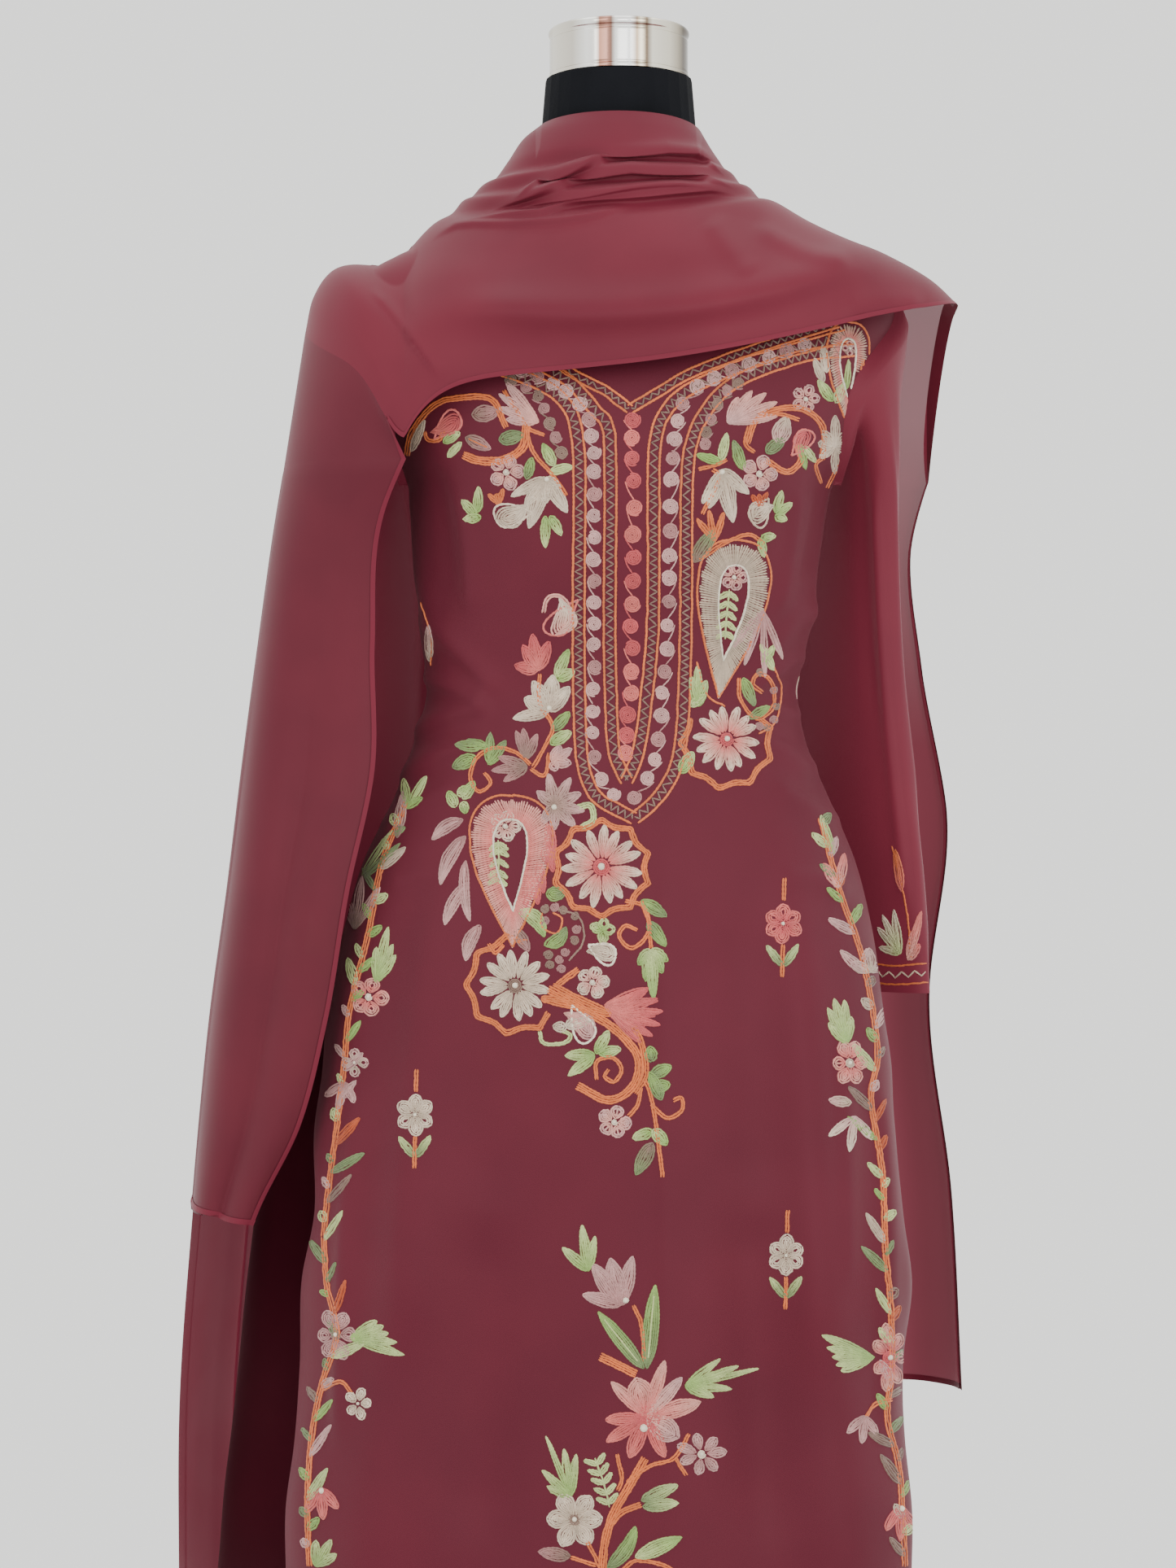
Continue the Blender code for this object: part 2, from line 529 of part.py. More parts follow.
def sleeve(front, back, right, look):
    """A limp tube from the armhole's edge down to the cuff."""
    start = front.first_armhole
    column = -1 if right else 0
    other = 0 if right else -1
    rings = []
    for grid in ("outer", "inner"):
        ahead = getattr(front, grid)[start:, column]
        behind = getattr(back, grid)[start:, other]
        rings.append(np.concatenate([ahead, behind[::-1]]))
    rim_outer, rim_inner = rings
    count = len(rim_outer)
    sign = 1 if right else -1

    inside = np.concatenate([front.outer[start:, column - sign], back.outer[start:, other + sign][::-1]])
    along = np.roll(rim_outer, -1, axis=0) - np.roll(rim_outer, 1, axis=0)
    away = unit(np.cross(along, rim_outer - rim_inner))
    away = away * np.sign(np.sum(away * (rim_outer - inside), axis=-1, keepdims=True))
    out = np.array([sign, 0.0, 0.0])
    leave = unit(0.3 * away + out)

    # Each ring point keeps its place round the flat tube: the front edge of the armhole goes to
    # the front end of the tube, the back edge to its back end.
    station = np.linspace(0, 1, count)
    angle = 2 * math.pi * (station * (count - 1) + 0.5) / count
    layers = [rim_outer + away * ARMHOLE_GAP]
    layers.append(rim_outer + away * ARMHOLE_GAP + leave * CAP_STAND)
    heights = [row["z"] for row in SLEEVE_SECTIONS]
    heights = sorted(heights + SLEEVE_EXTRA_HEIGHTS, reverse=True)
    columns = ("x", "y", "half", "thick", "angle")
    for k, z in enumerate(heights):
        row = {name: float(reading(SLEEVE_SECTIONS, name, z)) for name in columns}
        tilt = math.radians(row["angle"])
        wide = np.array([math.cos(tilt), -math.sin(tilt), 0.0])
        thin = np.array([-math.sin(tilt), -math.cos(tilt), 0.0])
        fore = np.sin(angle)[:, None]
        in_out = np.cos(angle)[:, None]
        ring = wide * row["half"] * power(fore, 0.9) + thin * row["thick"] * power(in_out, 0.8)
        ring = ring + np.array([row["x"], row["y"], z])
        if not right:
            drop = (heights[0] - z) / (heights[0] - heights[-1])
            ring[:, 0] = -ring[:, 0] + LEFT_ARMHOLE_IN - (LEFT_ARMHOLE_IN + LEFT_CUFF_OUT) * drop
        bind = smooth(np.array((k + 1) / 2.6))
        high = layers[1] + out * 0.004
        layers.append(ring * bind + (1 - bind) * high)
    outer = np.array(layers)
    if right:
        outer = outer[:, ::-1]
        rim_inner = rim_inner[::-1]
        away = away[::-1]
    normals = grid_normals(outer, closed=True)
    turned_in = np.sum(normals * (outer - outer.mean(axis=1, keepdims=True)), axis=-1).mean() < 0
    if turned_in:
        outer = outer[:, ::-1]
        rim_inner = rim_inner[::-1]
        away = away[::-1]
        normals = grid_normals(outer, closed=True)
    piece = Cloth("sleeve_right" if right else "sleeve_left", outer, normals, look, closed=True)
    piece.inner[0] = rim_inner + away * ARMHOLE_GAP
    return piece


# The salwar

def salwar_belt(look):
    """The yoke, snug at its elastic top edge and looser below, on the form's own rings."""
    heights = np.array([row["z"] for row in FORM_SECTIONS if BELT_FOOT <= row["z"] <= BELT_TOP])
    ease = SEAM_GAP + WALL + BELT_EASE * smooth((BELT_TOP - heights) / (BELT_TOP - BELT_FOOT))
    grid = form_grid(heights)
    normals = grid_normals(grid, closed=True)
    normals[0, :, 2] = 0.0
    normals = unit(normals)
    return Cloth("salwar_belt", grid + normals * ease[:, None, None], normals, look, closed=True)


def seat_x(belt):
    """The seat seam hangs beside the pole, so that the pole comes down inside one leg."""
    ring = belt.outer[0]
    return 0.5 * (ring[-SEAT_COLUMN, 0] + ring[FORM_COLUMNS // 2 + SEAT_COLUMN, 0])


def leg_top(belt, sign):
    """The loop a leg starts from: its share of the belt's edge, then the seat seam down and up."""
    span = FORM_COLUMNS // 2 + sign * 2 * SEAT_COLUMN
    order = -SEAT_COLUMN + sign * np.arange(0, span + 1)
    edge = belt.outer[0][order % FORM_COLUMNS] + np.array([0.0, 0.0, -SEAM_GAP])
    facing = belt.normals[0][order % FORM_COLUMNS].copy()
    crotch = np.array([seat_x(belt) + sign * SEAM_GAP / 2, CROTCH_Y, CROTCH_Z])
    edge[[0, -1], 0] = crotch[0]
    seam = []
    seam_facing = []
    for k in range(1, 2 * SEAT_STEPS):
        end = edge[-1] if k < SEAT_STEPS else edge[0]
        turn = math.pi / 2 * abs(k / SEAT_STEPS - 1)
        sideways = math.sin(turn) ** SEAT_CURVE
        lowered = math.cos(turn) ** SEAT_CURVE
        y = crotch[1] + (end[1] - crotch[1]) * sideways
        z = end[2] + (crotch[2] - end[2]) * lowered
        seam.append((crotch[0], y, z))
        seam_facing.append((0.0, math.copysign(math.sin(turn), end[1]), -math.cos(turn)))
    return np.concatenate([edge, seam]), np.concatenate([facing, seam_facing])


def salwar_leg(belt, right, look):
    """One leg: belt edge and seat seam above, one round pleated tube below the crotch."""
    sign = 1 if right else -1
    loop, facing = leg_top(belt, sign)
    count = len(loop)
    seat = seat_x(belt)
    middle = seat + sign * LEG_SECTIONS[0]["out"]
    bearing = np.unwrap(np.arctan2(-loop[:, 1], sign * (loop[:, 0] - middle)))
    whole = math.copysign(2 * math.pi, bearing[-1] - bearing[0])
    even = bearing[0] + whole * np.arange(count) / count
    first = LEG_SECTIONS[0]["z"]
    stops = [(share, first) for share in RISE_SHARES]
    stops += [(1.0, row["z"]) for row in LEG_SECTIONS[1:] if row["z"] >= CUFF_TOP]
    layers = [loop]
    for share, z in stops:
        row = {name: float(reading(LEG_SECTIONS, name, z)) for name in ("out", "half", "depth")}
        bind = float(smooth((share - 0.30) / 0.70))
        turn = bearing * (1 - bind) + even * bind
        swing = PLEAT_DEPTH / row["half"] * float(smooth((z - 0.22) / 0.2))
        pleat = 1 + swing * np.cos(LEG_PLEATS * turn)
        x = seat + sign * (row["out"] + row["half"] * np.cos(turn) * pleat)
        y = -row["depth"] * np.sin(turn) * pleat
        ring = np.stack([x, y, np.full(count, z)], axis=-1)
        mixed = loop * (1 - bind) + ring * bind
        mixed[:, 2] = loop[:, 2] * (1 - share) + z * share
        layers.append(mixed)
    outer = np.array(layers)
    if right:
        outer = outer[:, ::-1]
        facing = facing[::-1]
    normals = grid_normals(outer, closed=True)
    normals[0] = facing
    name = "salwar_leg_right" if right else "salwar_leg_left"
    return Cloth(name, outer, normals, look, closed=True)


def salwar_cuff(leg, right, look):
    ring = leg.outer[-1].copy()
    centre = ring.mean(axis=0)
    heights = [CUFF_TOP - SEAM_GAP, 0.5 * (CUFF_TOP + ANKLE_HEM), ANKLE_HEM]
    outer = np.array([np.column_stack([ring[:, :2], np.full(len(ring), z)]) for z in heights])
    outward = unit((ring - centre) * np.array([1, 1, 0]))
    normals = np.broadcast_to(outward, outer.shape)
    name = "salwar_cuff_right" if right else "salwar_cuff_left"
    return Cloth(name, outer, normals, look, closed=True, wall=CUFF_WALL)


# The dupatta

def clear_of_kameez(points, panel):
    """The points, pushed out in front or behind where they would lie inside the kameez."""
    points = points.copy()
    x, y, z = points[..., 0], points[..., 1], points[..., 2]
    left = -reading(KAMEEZ_SECTIONS, "left", z)
    right = reading(KAMEEZ_SECTIONS, "right", z)
    if panel == "back":
        left = left + reading(KAMEEZ_SECTIONS, "stray", z)
    share = np.abs(x) / np.where(x < 0, left, right)
    turn = np.sign(x) * np.arcsin(np.clip(share, 0, 1) ** (1 / ROUNDNESS))
    surface = kameez_point(turn, z, panel)[..., 1]
    near = (share < 1.06) & (z < NECK_POINT + SCARF_EASE)
    if panel == "front":
        points[..., 1] = np.where(near, np.minimum(y, surface - SCARF_EASE), y)
    else:
        points[..., 1] = np.where(near, np.maximum(y, surface + SCARF_EASE), y)
    return points


def cowl_grid():
    """Rows from the upper edge to the lower, columns from the left shoulder to the right."""
    turn = np.linspace(-math.pi / 2, math.pi / 2, COWL_COLUMNS)
    side = np.sin(turn)
    front = np.cos(turn)
    rows = []
    for k, line in enumerate(COWL_LINES):
        low = k / (len(COWL_LINES) - 1)
        x = np.where(side < 0, -line["lx"], line["rx"]) * power(side, 0.95)
        x = x + COWL_SHIFT * front
        y = line["cy"] * np.abs(front) ** 0.85
        shoulder = np.where(side < 0, line["lz"], line["rz"])
        z = shoulder + (line["cz"] - shoulder) * np.abs(front) ** (1.0 + 0.4 * low)
        slope = np.where(side > 0, COWL_RIGHT_LIFT, -COWL_LEFT_SAG) * np.abs(side) * front
        rows.append(np.stack([x, y, z + slope * low ** 2], axis=-1))
    grid = clear_of_kameez(np.array(rows), "front")
    grid[:, [0, -1], 1] = 0.0
    return grid


def hanging_line(table, z, reach_x, reach_y, columns):
    """A line of cloth at one height: out from the fold and round to the free edge."""
    turn = np.linspace(0, math.pi / 2, columns)
    fold = np.array([float(reading(table, "x", z)), float(reading(table, "y", z))])
    edge = np.array([float(reading(table, reach_x, z)), float(reading(table, reach_y, z))])
    x = fold[0] + (edge[0] - fold[0]) * (1 - np.cos(turn))
    y = fold[1] + (edge[1] - fold[1]) * np.sin(turn) ** 0.85
    return np.column_stack([x, y, np.full(columns, z)])


def fall_behind(start, table, hem, rows):
    """A stretch that leaves the shoulder line, lies down the back and hangs to its hem."""
    columns = len(start)
    goal = hanging_line(table, FALL_TOP, "back_x", "back_y", columns)
    layers = [start]
    for share in FALL_SHARES:
        reach = math.sqrt(1 - (1 - share) ** 2)
        line = start + (goal - start) * np.array([share, reach, share])
        layers.append(clear_of_kameez(line, "back"))
    at = np.linspace(0, 1, columns)
    wave = np.sin(FALL_RIPPLES * math.pi * at) * np.sin(math.pi * at)
    for z in np.linspace(FALL_TOP, hem, rows + 1)[1:]:
        line = hanging_line(table, z, "back_x", "back_y", columns)
        line[:, 1] += RIPPLE_DEPTH * wave * float(smooth((FALL_TOP - z) / 0.25))
        layers.append(clear_of_kameez(line, "back"))
    return np.array(layers)


def fall_in_front(top, rows):
    """The left layer before the arm, from the cowl's lower line down to its own hem."""
    columns = len(top)
    layers = [top]
    goal = hanging_line(LEFT_FALL, FALL_TOP, "front_x", "front_y", columns)
    for share in (0.35, 0.70, 1.0):
        layers.append(clear_of_kameez(top + (goal - top) * share, "front"))
    at = np.linspace(0, 1, columns)
    for z in np.linspace(FALL_TOP, LEFT_FRONT_HEM, rows + 1)[1:]:
        line = hanging_line(LEFT_FALL, z, "front_x", "front_y", columns)
        swing = 0.5 * RIPPLE_DEPTH * float(smooth((FALL_TOP - z) / 0.25))
        line[:, 1] += swing * np.sin(3 * math.pi * at)
        layers.append(clear_of_kameez(line, "front"))
    layers[-1][:, 2] += LEFT_FRONT_CORNER_RISE * (1 - at)
    return np.array(layers)


def dupatta(look):
    """Front cowl, left fall in front, left fall behind and right fall behind."""
    cowl = cowl_grid()
    outer = cowl[::-1]
    facing = grid_normals(outer, closed=False)
    facing[:, [0, -1], 1] = 0.0
    facing[0, : COWL_CORNER + 1, 2] = 0.0
    facing = unit(facing)
    pieces = [Cloth("dupatta_cowl", outer, facing, look)]

    start = outer[0, : COWL_CORNER + 1] + np.array([0.0, 0.0, -SEAM_GAP])
    left = fall_in_front(start, FRONT_FALL_ROWS)[::-1]
    normals = grid_normals(left, closed=False)
    normals[-1] = facing[0, : COWL_CORNER + 1]
    normals[:, 0, 1] = 0.0
    pieces.append(Cloth("dupatta_left_front", left, unit(normals), look))

    for name, column, table, hem, rows in (
        ("dupatta_left_back", 0, LEFT_FALL, LEFT_BACK_HEM, LEFT_BACK_ROWS),
        ("dupatta_right_back", -1, RIGHT_FALL, RIGHT_BACK_HEM, RIGHT_BACK_ROWS),
    ):
        start = outer[:, column] + np.array([0.0, SEAM_GAP, 0.0])
        fall = fall_behind(start, table, hem, rows)
        edge = facing[:, column]
        if column == 0:
            fall[len(FALL_SHARES) - 2 :, 0, 1] += FOLD_GAP
            fall = fall[:, ::-1]
            edge = edge[::-1]
        fall = fall[::-1]
        normals = grid_normals(fall, closed=False)
        normals[-1] = edge
        if column == 0:
            normals[:, -1, 1] = 0.0
        pieces.append(Cloth(name, fall, unit(normals), look))
    return pieces


def main():
    for old in list(bpy.data.objects):
        bpy.data.objects.remove(old, do_unlink=True)
    cloth = material("plum_georgette", PLUM, 0.62)
    sheer = material("sheer_plum", SHEER_PLUM, 0.60)
    jersey = material("black_jersey", (0.012, 0.012, 0.014), 0.85)
    chrome = material("chrome", (0.80, 0.79, 0.77), 0.16, 1.0)
    steel = material("stand_metal", (0.030, 0.030, 0.032), 0.40, 0.6)

    form = form_torso(jersey)
    form_cap(chrome)
    form_stand(steel)

    front = kameez_panel("front", cloth)
    back = kameez_panel("back", cloth)
    shift = settle([front, back], [form], above=1.30)
    for piece in (front, back):
        piece.move(shift)
    sleeves = [sleeve(front, back, right, cloth) for right in (False, True)]

    belt = salwar_belt(cloth)
    legs = [salwar_leg(belt, right, cloth) for right in (False, True)]
    cuffs = [salwar_cuff(leg, right, cloth) for leg, right in zip(legs, (False, True))]

    scarf = dupatta(sheer)
    under = [(piece.outer, piece.skin(piece.outer)) for piece in [front, back, *sleeves]]
    shift = settle(scarf, [form, *under], above=1.30)
    for piece in scarf:
        piece.move(shift)

    for piece in [front, back, *sleeves, belt, *legs, *cuffs, *scarf]:
        piece.build()


main()
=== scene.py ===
# %% [markdown]
# # A salwar kameez suit on its dress form
#
# This lesson dresses a imported CAD model of a three-piece suit: a long plum tunic (the kameez),
# loose trousers (the salwar) and a sheer scarf (the dupatta), shown on a limbless dress form.
# The CAD solids give every piece its place. Here each cloth solid is replaced by a thin sheet on
# the same form, with its creases, its see-through weave and its chain-stitch embroidery.
#
# First the frame is loaded.

import math

import bpy
import numpy as np
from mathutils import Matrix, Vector
from mathutils.bvhtree import BVHTree


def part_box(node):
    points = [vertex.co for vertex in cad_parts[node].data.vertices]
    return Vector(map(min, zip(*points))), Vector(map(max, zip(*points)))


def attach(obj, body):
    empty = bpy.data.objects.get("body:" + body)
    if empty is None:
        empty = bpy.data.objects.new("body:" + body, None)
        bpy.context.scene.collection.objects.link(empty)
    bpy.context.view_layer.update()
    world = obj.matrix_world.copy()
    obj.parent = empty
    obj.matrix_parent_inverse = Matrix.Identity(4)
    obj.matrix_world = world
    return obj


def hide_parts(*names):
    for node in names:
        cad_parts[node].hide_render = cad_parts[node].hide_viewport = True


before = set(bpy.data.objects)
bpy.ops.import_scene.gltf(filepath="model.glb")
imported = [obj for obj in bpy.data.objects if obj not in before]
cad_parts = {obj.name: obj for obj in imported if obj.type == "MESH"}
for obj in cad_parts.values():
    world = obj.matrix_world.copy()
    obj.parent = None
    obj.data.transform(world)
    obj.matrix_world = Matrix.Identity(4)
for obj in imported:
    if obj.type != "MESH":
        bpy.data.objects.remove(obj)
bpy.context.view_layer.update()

# %% [markdown]
# ## Camera, floor and light
#
# The photograph is upright, taken level from about two and a half metres with a long lens.
# PICTURE holds what is needed to say where a point of the object lands in the picture, because
# creases and stitches are easiest to place where they are seen. The floor is a plain pale disc,
# and the room is a plain pale grey sky with four soft lamps.

# %% Camera and stage
PICTURE = {"wide": 1445, "high": 1927, "focal": 4042.5}
EYE = np.array([-0.0179, -2.45, 0.97])


def in_picture(points):
    """Where points of the object land in the picture, in its pixels."""
    scale = PICTURE["focal"] / (points[..., 1] - EYE[1])
    px = PICTURE["wide"] / 2 + (points[..., 0] - EYE[0]) * scale
    py = PICTURE["high"] / 2 - (points[..., 2] - EYE[2]) * scale
    return np.stack([px, py], axis=-1)


def ray_through(px, py):
    """The direction from the camera through a place in the picture."""
    side = (px - PICTURE["wide"] / 2) / PICTURE["focal"]
    rise = (PICTURE["high"] / 2 - py) / PICTURE["focal"]
    return Vector((side, 1.0, rise)).normalized()


def add_camera():
    data = bpy.data.cameras.new("camera")
    data.lens = PICTURE["focal"] / PICTURE["high"] * data.sensor_width
    camera = bpy.data.objects.new("camera", data)
    camera.location = EYE
    camera.rotation_euler = (math.pi / 2, 0, 0)
    bpy.context.scene.collection.objects.link(camera)
    bpy.context.scene.camera = camera


def add_lamp(name, place, target, size, watts, colour):
    data = bpy.data.lights.new(name, "AREA")
    data.shape = "RECTANGLE"
    data.size, data.size_y = size
    data.energy = watts
    data.color = colour
    lamp = bpy.data.objects.new(name, data)
    lamp.location = place
    lamp.rotation_euler = (Vector(target) - Vector(place)).to_track_quat("-Z", "Y").to_euler()
    bpy.context.scene.collection.objects.link(lamp)


def add_room(colour, strength):
    world = bpy.data.worlds.new("room")
    world.use_nodes = True
    sky = world.node_tree.nodes["Background"]
    sky.inputs["Color"].default_value = (*colour, 1)
    sky.inputs["Strength"].default_value = strength
    bpy.context.scene.world = world


def plain_material(name, colour, roughness, metallic=0.0):
    made = bpy.data.materials.new(name)
    made.use_nodes = True
    shader = made.node_tree.nodes["Principled BSDF"]
    shader.inputs["Base Color"].default_value = (*colour, 1)
    shader.inputs["Roughness"].default_value = roughness
    shader.inputs["Metallic"].default_value = metallic
    return made


def add_floor(radius, sides=96):
    turn = np.linspace(0, 2 * math.pi, sides, endpoint=False)
    mesh = bpy.data.meshes.new("floor")
    mesh.from_pydata([(radius * math.cos(a), radius * math.sin(a), -0.0005) for a in turn], [],
        [range(sides)])
    floor = bpy.data.objects.new("floor", mesh)
    mesh.materials.append(plain_material("pale_floor", (0.60, 0.59, 0.58), 0.7))
    bpy.context.scene.collection.objects.link(floor)


add_camera()
add_room((0.83, 0.83, 0.812), 1.80)
add_lamp("key", (-1.5, -2.6, 2.2), (0, 0, 1.0), (1.1, 2.4), 18, (1.0, 0.98, 0.95))
add_lamp("fill", (1.5, -2.5, 1.5), (0.1, 0, 0.9), (1.2, 2.4), 22, (1.0, 0.99, 0.96))
add_lamp("front", (0.35, -3.2, 1.5), (0.15, 0, 0.9), (0.9, 1.6), 9, (1.0, 1.0, 1.0))
add_lamp("top", (0.0, 0.2, 3.0), (0, 0, 1.2), (2.0, 1.4), 8, (1.0, 1.0, 1.0))
add_floor(1.45)
print("camera looks along +Y from", EYE)

# %% [markdown]
# ## Tables of sections
#
# A dressmaker's form is read as level sections. Each table below lists heights from the floor and
# the sizes there, in metres, and `reading` draws a smooth curve through them. The same sections
# made the CAD solids, so a fine sheet made from them lies exactly where its solid lies.

# %% Tables
ROUNDNESS = 0.93
KAMEEZ_HEM, SLIT_TOP, UNDERARM = 0.285, 0.955, 1.190
SHOULDER_TIP, NECK_POINT, NECK_SHARE = 1.322, 1.409, 0.375
NECK_DROP = {"front": 0.066, "back": 0.020}
ARMHOLE_SCOOP = math.radians(26)


def table(names, *rows):
    return {name: np.array(column, float) for name, column in zip(names.split(), zip(*rows))}


KAMEEZ = table(
    "z left right front back stray",
    (0.285, -0.243, 0.223, 0.137, 0.150, 0.062),
    (0.386, -0.240, 0.219, 0.136, 0.148, 0.056),
    (0.438, -0.239, 0.219, 0.135, 0.146, 0.054),
    (0.485, -0.233, 0.215, 0.134, 0.145, 0.054),
    (0.540, -0.230, 0.213, 0.133, 0.143, 0.050),
    (0.604, -0.228, 0.219, 0.132, 0.141, 0.046),
    (0.654, -0.218, 0.212, 0.131, 0.140, 0.050),
    (0.716, -0.219, 0.206, 0.130, 0.138, 0.032),
    (0.757, -0.214, 0.206, 0.129, 0.137, 0.016),
    (0.800, -0.211, 0.200, 0.128, 0.135, 0.004),
    (0.863, -0.198, 0.192, 0.125, 0.131, 0.0),
    (0.912, -0.184, 0.180, 0.119, 0.124, 0.0),
    (0.955, -0.163, 0.162, 0.111, 0.113, 0.0),
    (0.999, -0.147, 0.144, 0.104, 0.100, 0.0),
    (1.034, -0.138, 0.138, 0.101, 0.094, 0.0),
    (1.082, -0.143, 0.147, 0.108, 0.095, 0.0),
    (1.140, -0.146, 0.155, 0.123, 0.098, 0.0),
    (1.190, -0.152, 0.164, 0.132, 0.103, 0.0),
    (1.220, -0.165, 0.175, 0.133, 0.106, 0.0),
    (1.250, -0.180, 0.189, 0.128, 0.109, 0.0),
    (1.285, -0.196, 0.204, 0.116, 0.110, 0.0),
    (1.309, -0.203, 0.210, 0.102, 0.106, 0.0),
    (1.327, -0.201, 0.208, 0.092, 0.100, 0.0),
    (1.342, -0.188, 0.196, 0.085, 0.093, 0.0),
    (1.354, -0.168, 0.177, 0.080, 0.087, 0.0),
    (1.366, -0.143, 0.152, 0.075, 0.082, 0.0),
    (1.383, -0.117, 0.127, 0.069, 0.076, 0.0),
    (1.400, -0.093, 0.103, 0.063, 0.070, 0.0),
    (1.415, -0.075, 0.085, 0.060, 0.065, 0.0),
)
SKIRT_FOLDS = [
    ("front", -0.120, 0.93, -0.190, 0.030, 0.010),
    ("front", -0.060, 0.78, -0.105, 0.034, -0.008),
    ("front", 0.035, 0.90, 0.035, 0.045, 0.007),
    ("front", 0.085, 0.80, 0.120, 0.032, -0.009),
    ("front", 0.125, 0.94, 0.182, 0.028, 0.009),
    ("back", -0.110, 0.94, -0.220, 0.038, 0.012),
    ("back", -0.050, 0.98, -0.090, 0.034, -0.010),
    ("back", 0.010, 1.05, 0.010, 0.036, 0.013),
    ("back", 0.060, 0.98, 0.090, 0.034, -0.010),
    ("back", 0.110, 0.94, 0.160, 0.034, 0.010),
]
SLEEVE = table(
    "z x y half thick angle",
    (1.265, 0.194, 0.006, 0.062, 0.024, 86),
    (1.210, 0.189, 0.026, 0.060, 0.016, 78),
    (1.140, 0.180, 0.042, 0.060, 0.013, 64),
    (1.060, 0.178, 0.050, 0.058, 0.012, 54),
    (0.980, 0.184, 0.056, 0.056, 0.012, 48),
    (0.900, 0.194, 0.064, 0.053, 0.012, 44),
    (0.845, 0.200, 0.067, 0.050, 0.012, 42),
    (0.812, 0.202, 0.068, 0.050, 0.012, 42),
)
COWL = table(
    "lx lz cy cz rx rz",
    (-0.0570, 1.452, -0.0640, 1.456, 0.0670, 1.446),
    (-0.0680, 1.444, -0.0720, 1.444, 0.0720, 1.438),
    (-0.0780, 1.429, -0.0800, 1.428, 0.0780, 1.429),
    (-0.0890, 1.414, -0.0790, 1.417, 0.0840, 1.422),
    (-0.0980, 1.410, -0.0880, 1.411, 0.0900, 1.418),
    (-0.1050, 1.403, -0.0860, 1.401, 0.0960, 1.411),
    (-0.1120, 1.400, -0.0960, 1.394, 0.1030, 1.408),
    (-0.1200, 1.391, -0.0950, 1.384, 0.1110, 1.400),
    (-0.1330, 1.385, -0.1080, 1.374, 0.1230, 1.397),
    (-0.1560, 1.370, -0.1220, 1.354, 0.1480, 1.382),
    (-0.1840, 1.360, -0.1350, 1.332, 0.1760, 1.368),
    (-0.2080, 1.350, -0.1440, 1.308, 0.2040, 1.357),
    (-0.2220, 1.330, -0.1450, 1.284, 0.2300, 1.340),
    (-0.2280, 1.304, -0.1430, 1.262, 0.2460, 1.320),
)
COWL["z"] = np.linspace(0, 1, 14)
LEFT_FALL = table(
    "z x y front_x front_y back_x back_y",
    (1.200, -0.244, 0.003, -0.148, -0.098, -0.066, 0.122),
    (1.166, -0.250, 0.004, -0.163, -0.085, -0.064, 0.124),
    (1.069, -0.264, 0.004, -0.172, -0.070, -0.060, 0.130),
    (0.980, -0.276, 0.006, -0.172, -0.068, -0.061, 0.142),
    (0.890, -0.287, 0.008, -0.190, -0.076, -0.065, 0.156),
    (0.796, -0.300, 0.010, -0.206, -0.074, -0.070, 0.168),
    (0.720, -0.308, 0.013, -0.226, -0.066, -0.076, 0.174),
    (0.645, -0.315, 0.018, -0.262, -0.046, -0.082, 0.180),
    (0.500, -0.328, 0.044, -0.262, -0.046, -0.094, 0.186),
    (0.340, -0.330, 0.056, -0.262, -0.046, -0.110, 0.190),
)
RIGHT_FALL = table(
    "z x y back_x back_y",
    (1.285, 0.262, 0.046, 0.074, 0.120),
    (1.225, 0.251, 0.078, 0.068, 0.122),
    (1.150, 0.233, 0.100, 0.060, 0.126),
    (1.060, 0.238, 0.110, 0.052, 0.132),
    (0.930, 0.254, 0.116, 0.046, 0.150),
    (0.800, 0.240, 0.118, 0.040, 0.168),
    (0.650, 0.257, 0.116, 0.036, 0.180),
    (0.494, 0.265, 0.114, 0.032, 0.188),
)
FALL_TOP, LEFT_FRONT_HEM, LEFT_BACK_HEM, RIGHT_BACK_HEM = 1.200, 0.645, 0.340, 0.494
SCARF_EASE = 0.0065


def reading(columns, name, at):
    """The named column at these heights, on a smooth curve through the table's rows."""
    order = np.argsort(columns["z"])
    x, y = columns["z"][order], columns[name][order]
    slope = np.gradient(y, x)
    at = np.clip(np.asarray(at, float), x[0], x[-1])
    i = np.clip(np.searchsorted(x, at) - 1, 0, len(x) - 2)
    span = x[i + 1] - x[i]
    t = (at - x[i]) / span
    start = y[i] * (1 + 2 * t) * (1 - t) ** 2 + slope[i] * span * t * (1 - t) ** 2
    return start + y[i + 1] * t * t * (3 - 2 * t) - slope[i + 1] * span * t * t * (1 - t)


def smooth(t):
    t = np.clip(t, 0.0, 1.0)
    return t * t * (3 - 2 * t)


def power(value, exponent):
    return np.sign(value) * np.abs(value) ** exponent


def unit(vectors):
    return vectors / np.maximum(np.linalg.norm(vectors, axis=-1, keepdims=True), 1e-12)


print("kameez sections:", len(KAMEEZ["z"]), "scarf lines:", len(COWL["z"]))

# %% [markdown]
# ## From a grid of points to a sheet of cloth
#
# Every cloth here is a grid: rows down the cloth, columns across it. A grid is quick to shape with
# whole-array arithmetic, and its two directions are the warp and weft of the real weave, so they
# are kept as a UV map in metres. A crease is a line drawn where it shows in the picture: the cloth
# is raised along it, gently on one side and steeply on the other, as a lapping fold is.

# %% Sheets and creases
def grid_normals(points, closed=False):
    if closed:
        along = np.roll(points, -1, axis=1) - np.roll(points, 1, axis=1)
    else:
        along = np.gradient(points, axis=1)
    return unit(np.cross(along, np.gradient(points, axis=0)))


